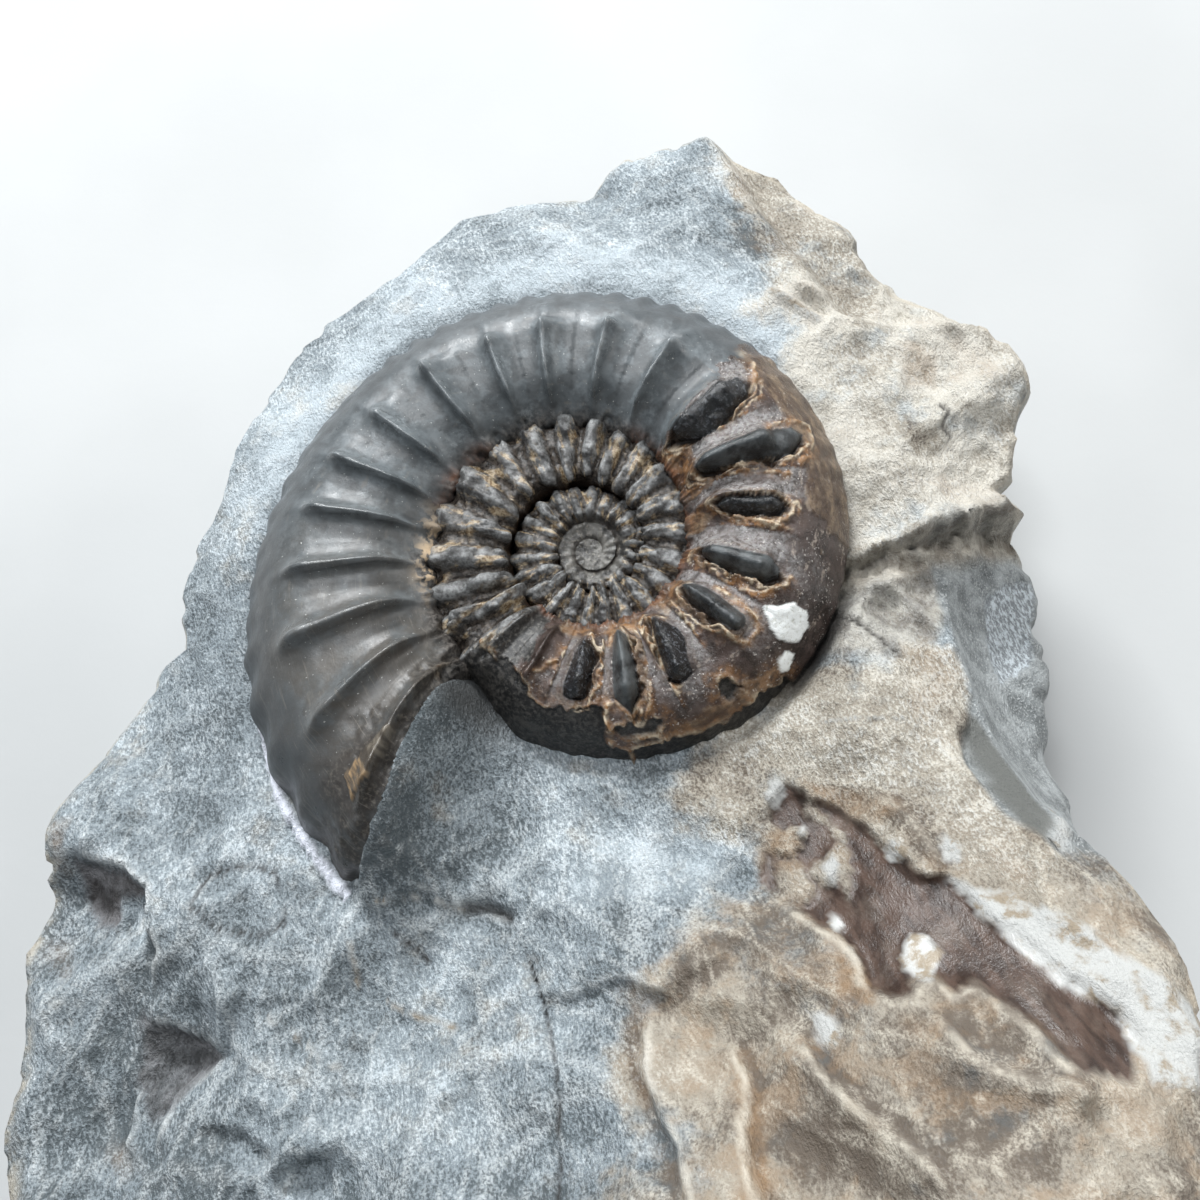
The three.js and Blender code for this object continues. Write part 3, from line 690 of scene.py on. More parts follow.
def shell_mesh():
    """The coiled tube in two parts, coarse inner whorls and a fine outer one, stitched and capped."""
    parts = [
        shell_part(span_angles(INNER_SPANS), INNER_COLUMNS),
        shell_part(np.append(span_angles(OUTER_SPANS), LIP_END), OUTER_COLUMNS),
    ]
    ids, total = [], 0
    for part, _ in parts:
        ids.append(total + np.arange(part[..., 0].size).reshape(part.shape[:2]))
        total += part[..., 0].size
    inner, outer = ids
    faces = [*tube_quads(inner), *tube_quads(outer)]
    faces += stitch([*inner[-1], inner[-1][0]], [*outer[0], outer[0][0]])
    faces += [inner[0][::-1].tolist(), outer[-1].tolist()]
    points = np.vstack([part.reshape(-1, 3) for part, _ in parts])
    flags = {name: np.concatenate([flags[name].reshape(-1) for _, flags in parts]) for name in parts[0][1]}
    return points, faces, flags


# ---- meshes ----

def mesh_object(name, points, faces, flags):
    data = bpy.data.meshes.new(name)
    moved = (np.asarray(points) + [0, 0, MID_PLANE_Z]) * MM
    data.from_pydata(moved.tolist(), [], faces)
    data.polygons.foreach_set("use_smooth", np.ones(len(data.polygons), bool))
    for flag, values in flags.items():
        layer = data.attributes.new(flag, "FLOAT", "POINT")
        layer.data.foreach_set("value", np.asarray(values, np.float32))
    data.update()
    made = bpy.data.objects.new(name, data)
    bpy.context.scene.collection.objects.link(made)
    return made


# ---- the block's face ----

# The block in plan: its rim, and the ridge past which the ground broke down.
RIM = [
    (34, -1), (32.5, 3), (30, 6), (31, 7), (32, 10.5), (33, 14), (31.5, 18), (29, 20.5), (23.5, 23.5),
    (21.5, 27), (20, 31), (15.5, 34), (14, 36.5), (8, 39), (1, 37.5), (-2, 33.5), (-9, 33), (-13, 31),
    (-17.5, 25), (-22, 22.5), (-26, 19), (-28.5, 15), (-30.5, 10), (-31, 5.5), (-33.5, 2), (-34, -2),
    (-33, -7), (-35, -8), (-38, -15), (-40, -20), (-39.5, -26), (-40, -31), (-39, -36), (-39, -43),
    (-36, -50), (-27, -54), (-12, -55.5), (2, -54), (14, -54), (26, -50), (32.5, -42), (35.5, -34),
    (35.5, -27), (33, -22.5), (34.5, -17), (33, -14), (34, -8),
]
# The ridge's places are (y, x).
RIDGE = [(-30, 38), (-26, 35.1), (-18, 29.1), (-1, 24.5), (6, 22.5)]
HOLLOWS = [  # centre, radius and depth
    (-37, -27, 6.5, 2.2), (-26, -37, 5, 1.6), (-32, -42, 6, 2.2), (-14, -48, 8, 1.5), (-6, -18, 8, 1),
    (-6, -26.5, 2.5, 0.8), (3, -27, 7, -1.2), (8, -36, 7, 1.8), (17, -41, 6, 2.4), (27, -35, 6, 2),
    (14, -23, 5.5, 1.2), (19, -11.5, 9, -2.4), (20, 25, 5, 1), (27, 13, 4.5, 1), (0, 31, 5, 1),
    (30.5, -3.5, 5, 1.2),
]
LIP_SEAM, LIP_KEEL = float(seam_radius(LAST_ANGLE)), float(keel_radius(LAST_ANGLE))
LIP_FILL_RUN = 3.4  # how far the stone before the broken end reaches
BROKEN_LEVEL = -9.5  # of the ground past the ridge
FOLD_FAR, FOLD_NEAR = (9.3, 36.2), (18.5, 18.7)  # ends of the fold


def before_lip(x, y):
    """How many millimetres ahead of the shell's broken end a place is, and its share of the whorl."""
    radius = np.hypot(x, y)
    share = (radius - LIP_SEAM) / (LIP_KEEL - LIP_SEAM)
    turn = np.degrees(np.arctan2(y, x)) + 720
    return np.radians(turn - LIP_START - lip_lean(clamp01(share))) * radius, share


def lip_fill(x, y):
    """Stone left standing in front of the shell's broken end, level with it."""
    ahead, share = before_lip(x, y)
    fade = np.where(ahead > 0, 1 / (1 + np.square(ahead / LIP_FILL_RUN)), np.exp(np.minimum(0, ahead / 0.3)))
    level = HALF_THICKNESS * (LIP_KEEL - LIP_SEAM) * curve(OUTER_SECTION, clamp01(share))
    return np.where(share > 1, 0, (level + 0.7 * smooth(0, 0.1, share)) * fade)


def scarp_side(x, y):
    """Positive behind the scarp, on the far right corner."""
    return y - 0.33 * (x - 19)


def fold_side(x, y):
    """Positive right of the fold that runs from the far rim to the corner."""
    (far_x, far_y), (near_x, near_y) = FOLD_FAR, FOLD_NEAR
    return x - (near_x + (y - near_y) * (far_x - near_x) / (far_y - near_y))


def open_ground(x, y):
    """The face without its broken right side: a low left, and a near right shoulder that climbs."""
    climb = np.maximum(0, 0.62 * x - 0.78 * y - 12)
    z = -0.6 - 4.8 * smooth(23, 39, np.hypot(x, y)) * (1 - smooth(8, 24, -y))
    z = z + 0.08 * np.maximum(0, -14 - y) + 0.0185 * climb**2
    z = eased(z, 18, 6) + lip_fill(x, y)
    for hollow_x, hollow_y, radius, depth in HOLLOWS:
        away = np.minimum(1, np.hypot(x - hollow_x, y - hollow_y) / radius)
        z = z - depth * (1 - away**2) ** 2
    return z


def face_base(x, y):
    """The CAD block's face, from the shell's plane of symmetry."""
    ground = open_ground(x, y)
    scarp = scarp_side(x, y) + 0.75 * lumps(x, y, 2.6, 4.0, 3) + 0.35 * lumps(x, y, 0.9, 14.0, 2)
    below = np.minimum(ground, -2.2 - 0.35 * (x - 18) + 0.65 * (-scarp - 1))
    ridge_ys, ridge_xs = np.array(RIDGE, float).T
    past = x - np.interp(y, ridge_ys, ridge_xs)
    broken = BROKEN_LEVEL + (ground - BROKEN_LEVEL) * np.exp(-np.maximum(0, past) / 4)
    below = np.where(past > 0, np.minimum(below, broken), below)
    above = mix(ground, -1 - 0.12 * (x - 18), smooth(14, 19, x) * (1 - smooth(18.7, 20.4, y)))
    right = mix(below, above, smooth(-0.4, 0.3, scarp))
    z = np.where((x > 14) & (y < 24), right, ground)
    z = z - 1.6 * smooth(18.7, 20.4, y) * smooth(0, 2, fold_side(x, y))
    rough = 0.25 + smooth(22, 32, np.hypot(x, y))
    return z + rough * (0.8 * noise(x / 7, y / 7, 7) + 0.3 * noise(x / 3.5, y / 3.5, 3.5))


def keel_side(x, y):
    """How far outside the shell a place is in plan, in millimetres."""
    angles = np.linspace(LAST_WHORL, LAST_ANGLE, 361)
    turns, keels = angles + lean(angles, 1.0), keel_radius(angles)
    turn = (np.degrees(np.arctan2(y, x)) - LAST_WHORL) % 360 + LAST_WHORL
    radius = np.hypot(x, y)
    shares = np.linspace(0, 1.25, 26)
    lip_share = np.interp(turn - LAST_WHORL, lip_lean(shares), shares)
    lip = mix(LIP_SEAM, LIP_KEEL, lip_share)
    beside_lip = (lip_share < 1) & (radius > lip)
    return radius - np.interp(np.where(beside_lip, turn + 360, turn), turns, keels)


# Zones of the face in plan.
BROWN_FLAKE = [
    (14.3, -17.2), (15.8, -18.2), (17.3, -18.8), (19.4, -20.5), (20.7, -22.4), (21.5, -23.1), (23.6, -23.1),
    (24.9, -24.8), (28.4, -28.4), (31.5, -30.7), (30.8, -33.1), (27.7, -32.8), (26.6, -31.2), (25.3, -30.2),
    (24.1, -29.2), (22.9, -29.7), (22.1, -28.8), (21, -29), (20.6, -30), (19.6, -30.3), (18.6, -29.8),
    (18.4, -28.3), (17.5, -27.3), (16.6, -26.4), (15.9, -26.4), (14.4, -25.2), (12.2, -24), (12.8, -22.2),
    (12.3, -20.2), (13.3, -18.2),
]
CALCITE_VEIN = [
    (23.5, -23.4), (26.6, -24.3), (30, -26.1), (32.3, -27.6), (35.3, -30), (34, -33.7), (31.4, -33.7),
    (31, -30.1), (28.2, -29), (26.2, -26.8),
]
CALCITE_BLOBS = [
    (21.4, -27.9, 1.25), (16.9, -22.6, 0.6), (16.8, -23.3, 0.5), (16.9, -26.1, 0.6), (15.1, -20.3, 0.5),
    (13.3, -17.7, 0.8), (15.9, -32.2, 0.8), (23.8, -21.6, 0.6), (20.5, -21.7, 0.5),
]
WHITE_LINES = [  # places along each, and its half width
    ([(-15.4, -28.3), (-14.9, -31.6)], 0.16),
    ([(-14.9, -26.1), (-10.6, -25.2), (-7.7, -26.1)], 0.09),
    ([(16.1, -12.9), (22, -12.8)], 0.09),
    ([(12.6, 22), (14.8, 20.6), (17.2, 19.1)], 0.4),
    ([(31.5, -18.2), (30.3, -20), (29.6, -21.5)], 0.5),
    ([(-21.2, -33.3), (-17.9, -35.2), (-14.8, -36.9)], 0.12),
    ([(-13.4, -32.2), (-9.7, -33.2), (-7.5, -33.6)], 0.14),
]
WARM_SHOULDER = [
    (9, -14), (7.5, -15.7), (5.7, -17.9), (6.9, -19.5), (9.5, -19.7), (11.4, -19.8), (12.1, -21.2),
    (11.6, -23.8), (10, -24.3), (8.6, -24.8), (9.2, -26.2), (8.1, -28.6), (6, -31.1), (5.1, -33),
    (5.4, -35.1), (6, -37.2), (7.3, -38.6), (5.4, -40.4), (3.9, -41.7), (2, -60), (50, -60), (50, -16),
    (29, -19), (26, -10.5), (23.4, -7.6), (15, -6.5),
]
WARM_CORNER = [
    (14, 0), (14, 8), (13.5, 13), (14.5, 18), (13.5, 23), (10.5, 31), (9, 40), (45, 40), (45, 9), (19, 0),
]
TRENCH = [
    (15.5, -6), (18.9, -0.5), (24, 2), (29.3, 5), (36, 8), (35, 3.5), (28.2, -0.5), (24.3, -6.6),
    (20.5, -8.5), (16.6, -7.5),
]
BREAK_FACET = [
    (24.6, 0.5), (25.6, -4.7), (26.7, -10.3), (26, -13), (25.5, -15.4), (27.2, -19.6), (29.4, -21.5),
    (31.5, -22), (45, -25), (45, 6), (29.5, 5.2),
]
FLAKE_SCAR = [
    (29.6, -1.7), (31.2, -0.2), (33.8, 0.1), (33.3, -4.6), (32.8, -6.9), (30.2, -8.3), (29.7, -5.7),
]
DARK_CHIP = [
    (-37.7, -23.4), (-33.3, -23.8), (-31.2, -25.4), (-33.2, -26.1), (-33.8, -27.7), (-35.5, -28.3),
    (-37.5, -26.2),
]
DARK_FACET = [
    (-30.7, -34), (-28.3, -34.6), (-24.1, -36.4), (-26.4, -38.3), (-27.4, -39.8), (-29.2, -40.8),
    (-30.6, -38.2),
]
# Darker and lighter patches: an outline, the change of tone, and how soft the outline is.
TONES = [
    ([(-11, -9), (-6, -11), (-4.8, -14), (1.1, -15.8), (2, -18), (-1.6, -20.4), (-7.1, -22.6),
      (-11.2, -22.1), (-13.9, -22.9), (-16.3, -24), (-14, -14)], 0.05, 2.0),
    ([(2.7, -26.3), (4.5, -25.6), (9, -25.3), (10.4, -26.5), (10.2, -27.7), (8.5, -29.2), (5.4, -30.3),
      (2.5, -30.4), (2.1, -28.9)], -0.1, 0.5),
    ([(-38.3, -16.7), (-33.8, -16.9), (-32.6, -21.8), (-36.3, -21.2)], -0.3, 0.8),
    ([(-36.7, -28.5), (-31.6, -28.5), (-30.5, -30.8), (-30.9, -32), (-33, -32.3), (-35.7, -30.4)],
      -0.5, 0.4),
    ([(-41, -31), (-30.5, -32), (-24, -37), (-24, -41), (-19, -43), (-14, -48), (-20, -60), (-41, -60)],
      0.05, 1.5),
    ([(-28.6, -41.5), (-21.5, -40.7), (-18.9, -42.2), (-18.9, -43.6), (-25.4, -44.9), (-28.3, -44.2)],
      -0.4, 0.8),
    ([(-33.9, -39.6), (-30.7, -39.3), (-30.3, -42.8), (-31.9, -43.7), (-33.5, -42.2)], -0.3, 0.5),
    ([(13.7, -37.1), (17.9, -36.4), (17.7, -38.9), (14.3, -38.9)], -0.8, 0.8),
    ([(22, -30.6), (23.2, -30.6), (22.7, -32), (21.8, -32.1)], -0.7, 0.5),
    ([(21.5, -28.6), (26, -28.6), (26, -31.6), (21.5, -31.6)], -0.7, 1.2),
    ([(-1.5, -26.5), (6, -26.5), (6, -30.8), (-1.5, -30.8)], 0.4, 1.5),
    # Painted shade in the groove at the foot of the ledge on the tan shoulder.
    ([(19.5, -17.4), (21.3, -18.3), (22.5, -20.6), (23.6, -22.8), (23, -23.4), (21.3, -21.3), (20, -18.9)],
      -0.9, 0.3),
    ([(24.3, -12), (27, -12), (30.2, -20), (28.5, -21.7), (26, -17)], -0.9, 0.6),
    ([(18.6, -34.1), (22.6, -33.2), (26.2, -34), (27.3, -35.6), (25.4, -37.3), (22.7, -37.1),
      (20.7, -35.8)], -0.3, 0.8),
    ([(-12.2, -29.5), (-3.4, -31.7), (0, -36.1), (-9.6, -38.1)], 0.1, 2.5),
    ([(-26.7, -21.7), (-20.7, -20.8), (-18.5, -24.3), (-24, -23.5)], 0.5, 1.2),
    ([(-18.4, -36.2), (-5.5, -37.2), (-3.6, -40.3), (-15.6, -40.9)], 0.4, 2.5),
    ([(1, -20.5), (9, -20), (11.5, -21.5), (11, -23.6), (6, -25), (-1.2, -25.5)], 0.9, 1.5),
    ([(-33.2, -26.3), (-30.7, -26.3), (-30.6, -31), (-31.3, -31), (-31.6, -28.5)], 1.0, 0.4),
    ([(8.7, 36.4), (10.4, 33.8), (10, 31.8), (8.5, 34)], 0.7, 0.5),
    ([(10, 33.1), (11.3, 30), (13.3, 29.1), (12.5, 24.8), (10.9, 26.8)], -0.4, 0.6),
    ([(23.3, 10.9), (24.8, 9.3), (24, 7.7), (23, 9)], -0.9, 0.4),
    ([(9, -14), (15, -9), (24, -9), (28, -20), (20, -17), (14, -17)], 0.5, 1.5),
    ([(9, 40), (18, 36), (23, 27), (22, 20.5), (17.5, 20), (12.5, 24), (10, 31)], -0.6, 1.2),
]
RUST = [  # an outline and how strong its rust is
    ([(15, -16.8), (16.9, -17.4), (19.4, -18.1), (21.5, -19.1), (20, -19.6), (18.1, -19.6), (16.6, -18.8)],
      0.7),
    ([(12.5, -20.5), (14.5, -20), (15.3, -22.6), (12.9, -23.2)], 0.7),
    ([(16, -28.1), (17.6, -28), (18.6, -29), (18.6, -30.2), (17.1, -30.7), (15.9, -29.8)], 0.8),
    ([(-32.1, -42.5), (-31.2, -42.3), (-29.2, -43.5), (-30.2, -44.2)], 0.5),
    ([(-39.4, -20.7), (-38.3, -20.6), (-38.3, -24.3), (-38.9, -24)], 0.6),
    ([(10.8, -34.1), (11.6, -35.4), (12.2, -38.4), (12.6, -42), (11.2, -42), (10.8, -37)], 0.6),
    ([(19.8, -30.9), (22, -30.9), (21.5, -32.3), (20, -32.2)], 0.5),
    ([(23.2, 17.2), (26.1, 16.7), (25.7, 13.8), (23, 13.3)], 0.5),
    ([(-38.9, -29.1), (-37.1, -29), (-36.3, -31.7), (-37.9, -31.1)], 0.35),
]
# Steps of the stone, which stands higher on the left of each line: the line, its height and how far it runs.
# The first two follow the near and far edges of the brown flake.
LEDGES = [
    ([*BROWN_FLAKE[10:23], *BROWN_FLAKE[24:27]], 0.8, 3.0),
    ([(13.3, -17.2), *BROWN_FLAKE[1:7]], 0.5, 3.0),
    ([(21.6, -38.8), (20.8, -37.7), (19.5, -36.7), (17.9, -35.8), (16.1, -34.6), (14.8, -32.9), (14, -31.4)],
     1.5, 3.0),
    ([(29, -34.4), (27.5, -33.5), (25.2, -33.1), (23.1, -32.3), (22, -31)], 0.9, 2.5),
    ([(12.4, -41.5), (11.8, -38.3), (11.4, -37), (11.3, -34.6), (10.2, -32.6)], 1.0, 2.0),
    ([(5.6, -31.2), (5.1, -33), (5.3, -35.1), (6.3, -37.4), (7.6, -38.8), (9.7, -46)], 1.3, 5.0),
    ([(-2.6, -31.6), (1.9, -31), (5.4, -30.6), (8.5, -29.4), (10.4, -27.6)], 0.45, 5.0),
    ([(-24.1, -36.2), (-26.4, -38.3), (-27.4, -39.8), (-28.8, -41.2)], 0.9, 4.0),
    ([(-30.7, -34), (-28.3, -34.6), (-24.1, -36.2)], 0.8, 5.0),
    ([(-30.8, -38.5), (-31, -41.8), (-29.2, -43.4)], 0.8, 2.5),
    ([(-13.9, -42.2), (-15.2, -42.2), (-18.9, -43.1), (-18.9, -42.2), (-21.5, -40.7), (-26, -41)], -1.0, 4.0),
    ([(-13.5, -25.3), (-10.6, -25), (-7.7, -25.8), (-4.4, -27.3), (-3.4, -27.9)], 0.5, 3.0),
    ([(-37.9, -23.4), (-33.3, -23.6), (-31, -25.2), (-30.8, -27.1), (-29.8, -29.5), (-30.8, -32)], 1.0, 4.0),
    ([(-31.2, -25.4), (-33.2, -26.1), (-33.8, -27.7), (-36, -28.6)], -0.7, 2.0),
    ([(-13, -46), (-6, -47), (0, -49), (5, -54)], 0.8, 5.0),
    ([(23.8, -23.4), (22.5, -20.8), (21.1, -18.7), (19.3, -17.4)], 0.6, 2.5),
    ([(12.2, 25), (13.2, 22.6), (15.6, 20.8), (18.5, 18.7)], -0.5, 1.5),
    ([(31, -22), (29.4, -19.6), (26.2, -17), (25.5, -15.4), (26.2, -11.1)], 0.4, 1.5),
    ([(18.6, 18.6), (20.9, 19.8), (24.8, 19.9), (29, 19.4)], 0.5, 2.0),
]
LEDGE_SCALE = 1.3  # the ledges stand this much taller than their heights say
# How far each of these zones stands above the stone round it, in millimetres.
MASK_HEIGHTS = {"flake": -0.55, "vein": 0.3, "chip": -0.4, "scar": -0.3, "line": 0.3}
CRACKS = [  # places along each, its half width and its depth
    ([(-8.2, -26), (-6.2, -25.9), (-4, -26.8)], 0.42, 1.1),
    ([(-3.7, -28.1), (-2.3, -30.4), (-1, -33.5), (-0.1, -35.9), (0.5, -44)], 0.12, 0.45),
    ([(-12.8, -27.7), (-11.3, -28.6), (-9.8, -29.9)], 0.14, 0.35),
    ([(17.4, -4.3), (19.7, -6), (22.4, -8.4)], 0.12, 0.25),
    ([(25.5, 12), (26.6, 11.4), (26, 10.2), (27, 9.2)], 0.15, 0.3),
    ([(-20.6, -25.8), (-20.5, -27.5), (-22.1, -28.2), (-25.1, -27.9), (-26.9, -26.3), (-26.5, -24.2),
      (-24.3, -23.5), (-21.8, -23.9), (-20.6, -25.8)], 0.16, 0.25),
]


def zone(outline, x, y, softness, wander=0.8, size=2.5):
    """A mask of an outline's inside, whose edge wanders in lumps of this size."""
    return smooth(-softness, softness, inside_depth(outline, x, y) + wander * lumps(x, y, size, 3.0, 4))


def calcite(x, y):
    """The white vein beside the brown flake, its blobs and thin white lines."""
    vein = zone(CALCITE_VEIN, x, y, 0.15, 0.5, 1.2)
    for blob_x, blob_y, radius in CALCITE_BLOBS:
        away = np.hypot(x - blob_x, (y - blob_y) * 0.8)
        vein = np.maximum(vein, smooth(0, 0.2, radius - away + 0.45 * lumps(x, y, 0.9, 5.0, 3)))
    wander = 0.15 * lumps(x, y, 0.9, 2.0, 2)
    patchy = smooth(-0.6, -0.2, lumps(x, y, 0.8, 16.0, 2))
    for line, width in WHITE_LINES:
        away, along = line_distance(line, x + wander, y - wander)
        ends = smooth(0, 0.1, along) * smooth(1, 0.94, along)
        vein = np.maximum(vein, bell(away / width) * patchy * ends)
    return vein


def white_lip(x, y, outside):
    """The white line along the keel beside the shell's broken end."""
    turn = np.degrees(np.arctan2(y, x)) % 360
    width = mix(0.12, 0.32, smooth(206, 222, turn)) * (1 + 0.3 * noise(turn / 1.7, 3.0))
    beside = smooth(width + 0.1, width - 0.08, np.abs(outside - 0.3))
    return beside * window((200, 207), (237, 240), turn) * (np.hypot(x, y) > 20)


def stone_tone(x, y, outside, wall):
    """How much lighter or darker the stone is than its zone: partly its own tone, partly painted light and
    shade.
    """
    scarp = scarp_side(x, y)
    # Lighter beside the shell's top and on the far side, darker towards the near end: partly the stone's own
    # tone, partly painted light and shade.
    tone = 1.05 * bell((outside - 1) / 5) * smooth(-2, 8, y) * smooth(22, 8, x)
    tone = tone + 0.16 * smooth(5, 12, y) - 0.2 * smooth(20, 34, -y)
    # The wall under the scarp and the scarp's edge are painted lighter: painted light.
    tone = tone + 0.8 * zone(WARM_CORNER, x, y, 1.0) * smooth(0, 2, scarp) + 0.65 * wall
    tone = tone + 0.5 * bell((scarp - 0.9) / 0.7) * window((16, 19), (30, 33), x)
    # Painted shade on the stone before the shell's broken end.
    ahead, share = before_lip(x, y)
    shaded = bell(np.maximum(0, ahead - 0.5) / 3.2) * window((-0.15, 0.05), (0.8, 1.05), share)
    tone = tone - 1.25 * shaded * (ahead > -3)
    for outline, change, softness in TONES:
        tone = tone + change * zone(outline, x, y, softness, 0.5 * softness, 2.0)
    return tone


def stone_masks(x, y):
    """Masks of the face's zones, which the material and the fine relief read."""
    masks = {}
    outside = keel_side(x, y)
    shoulder = zone(WARM_SHOULDER, x, y, 2.6, 3.0, 4.0)
    wall = bell((scarp_side(x, y) + 1.2) / 1.8) * smooth(16, 19, x)
    masks["warm"] = np.maximum.reduce([shoulder, 0.9 * zone(WARM_CORNER, x, y, 2.5, 2.0, 4.0), 0.9 * wall])
    masks["calm"] = shoulder * smooth(17, 28, -y)
    masks["trench"] = zone(TRENCH, x, y, 0.8, 0.8, 2.0)
    under_scarp = smooth(-3.2, -1.6, scarp_side(x, y) + 0.8 * lumps(x, y, 2, 31.0, 3))
    masks["facet"] = zone(BREAK_FACET, x, y, 0.35, 0.5, 2.0) * (1 - under_scarp)
    masks["scar"] = zone(FLAKE_SCAR, x, y, 0.15, 0.5, 1.5)
    dark_facet = zone(DARK_FACET, x, y, 0.25, 0.5, 2.0)
    masks["chip"] = np.maximum(zone(DARK_CHIP, x, y, 0.25, 0.7, 2.0), 0.75 * dark_facet)
    ragged = smooth(-0.2, 0.05, lumps(x, y, 1.6, 23.0, 4) + 0.13 * (x - 15))
    masks["flake"] = zone(BROWN_FLAKE, x, y, 0.15, 0.7, 1.5) * ragged
    masks["vein"] = calcite(x, y)
    masks["line"] = white_lip(x, y, outside)
    masks["rust"] = np.maximum.reduce([strength * zone(o, x, y, 0.5, 0.7, 1.5) for o, strength in RUST])
    masks["tone"] = stone_tone(x, y, outside, wall)
    return masks


def ledge_step(line, run, x, y):
    """One at a line's left side, falling to zero over its run; the step's edge, for a painted highlight;
    below the step, for painted shade.
    """
    wander = 0.9 * lumps(x, y, 3.5, 6.0, 3)
    side, along = line_distance(line, x + wander, y - wander)
    ends = smooth(0, 0.15, along) * smooth(1, 0.85, along)
    broken = smooth(-0.5, 0.1, lumps(x, y, 1.3, 18.0, 3))
    level = ends * smooth(-0.3, 0.3, side) * np.exp(-np.maximum(0, side) / run)
    return level, ends * broken * bell((side - 0.35) / 0.22), ends * bell((side + 0.4) / 0.4)


def roughness(x, y, outside, masks):
    """How rough the stone is: calm round the shell, rough at the near end and the rim."""
    far = smooth(1.5, 8, outside) * smooth(18, 28, np.hypot(x, y))
    rough = 0.2 + 0.4 * far + 0.75 * smooth(14, 28, -y) + 0.4 * masks["warm"] + 0.6 * masks["trench"]
    return clamp01(rough) * (1 - 0.75 * masks["facet"]) * (1 - 0.6 * masks["flake"])


def scooped_face(x, y, rough, masks):
    """Relief of the bowls that broken stone is made of, of three sizes; then its crests, which take a painted
    highlight, and its hollows, which take painted shade.
    """
    wx = x + 1.3 * lumps(x, y, 5, 2.0, 2)
    wy = y + 1.3 * lumps(x, y, 5, 9.0, 2)
    # Scars run long, down to the right, on the near right shoulder.
    drawn = masks["warm"] * smooth(18, 30, -y)
    across, lengthwise = 0.8 * wx + 0.6 * wy, 0.6 * wx - 0.8 * wy
    round_scar = scoops(wx / 8.5, wy / 8.5, 0.7, 1.0)
    long_scar = scoops(across / 7, lengthwise / 12, 0.7, 21.0)
    large, large_gap = (mix(a, b, drawn) for a, b in zip(round_scar, long_scar))
    middle, middle_gap = scoops(wx / 3.1 + 4, wy / 3.1, 0.5, 5.0)
    small, small_gap = scoops(wx / 1.25, wy / 1.25 + 9, 0.4, 9.0)
    z = rough * (2.3 * large + 0.95 * middle + 0.3 * (1 - 0.5 * drawn) * small)
    z = z + masks["trench"] * (0.9 * middle + 0.3 * small)
    rubble = bell((scarp_side(x, y) + 0.8) / 1.4) * smooth(15, 18, x)
    z = z + rubble * (0.9 * small + 0.5 * lumps(x, y, 1.1, 26.0, 3))
    crest = [0.8 * smooth(0.1, 0, large_gap), smooth(0.09, 0, middle_gap), 0.5 * smooth(0.08, 0, small_gap)]
    hollow = clamp01(-1.3 * (middle + 0.03)) + clamp01(-1.1 * large)
    return z, rough * np.maximum.reduce(crest), rough * hollow


def ledges(x, y):
    """Relief of the ledges, a painted highlight along their edges and painted shade at their feet."""
    z, ledge_highlight, foot_shade = np.zeros_like(x), np.zeros_like(x), np.zeros_like(x)
    for line, height, run in LEDGES:
        level, edge, below = ledge_step(line, run, x, y)
        z = z + LEDGE_SCALE * height * level
        ledge_highlight = np.maximum(ledge_highlight, edge * clamp01(height))
        foot_shade = np.maximum(foot_shade, below * clamp01(height))
    return z, ledge_highlight, foot_shade


def cracks(x, y):
    """Relief of the cracks, and where they are."""
    z, crack = np.zeros_like(x), np.zeros_like(x)
    wander = 0.2 * lumps(x, y, 1.2, 8.0, 3)
    for line, width, depth in CRACKS:
        away, along = line_distance(line, x + wander, y - wander)
        groove = bell(away / width) * smooth(0, 0.12, along) * smooth(1, 0.88, along)
        z = z - depth * groove
        crack = np.maximum(crack, groove)
    return z, crack


def beside_shell(x, y, outside, line):
    """Relief of the notch that runs along the keel and of the crevice by the broken end, and their shadow."""
    turn = np.degrees(np.arctan2(y, x))
    notch = smooth(-1.2, 0.0, outside) * bell((outside - 0.2) / 0.8) * (1 - line)
    corner = bell((turn + 24) / 15)
    crevice = bell((turn + 124) / 17) * smooth(20, 17, np.hypot(x, y))
    z = -notch * (0.35 + 1.3 * corner) - 1.8 * crevice * smooth(1.3, -0.8, outside)
    return z, np.maximum(notch * (0.2 + corner), 0.8 * crevice * smooth(2.8, 0.3, outside))


def face_relief(x, y, masks):
    """Fine relief of the face over the CAD block's form. Adds the masks that come of it."""
    outside = keel_side(x, y)
    rough = roughness(x, y, outside, masks)
    # The crest mask takes a painted highlight and the hollow mask painted shade.
    scooped, masks["crest"], masks["hollow"] = scooped_face(x, y, rough, masks)
    stepped, masks["ledge_highlight"], foot_shade = ledges(x, y)
    cracked, crack = cracks(x, y)
    notched, shadowed = beside_shell(x, y, outside, masks["line"])
    z = scooped + stepped + cracked + notched + (0.05 + 0.09 * rough) * lumps(x, y, 0.8, 6.0, 4)
    for name, height in MASK_HEIGHTS.items():
        z = z + height * masks[name]
    scarp_shade = bell((scarp_side(x, y) + 0.9) / 0.7) * window((15, 18), (29, 33), x)
    scarp_shade = 0.5 * scarp_shade * smooth(-0.5, 0.3, lumps(x, y, 1.5, 8.0, 3))
    # The crack mask holds real cracks and painted shadow beside the shell and under the scarp.
    masks["crack"] = np.maximum.reduce([crack, shadowed, scarp_shade])
    # Painted shade at the feet of the ledges darkens the hollow mask.
    masks["hollow"] = masks["hollow"] + 1.1 * foot_shade
    return z


# ---- the block's mesh ----

SPOKES, FACE_RINGS, SIDE_ROWS = 660, 118, 30
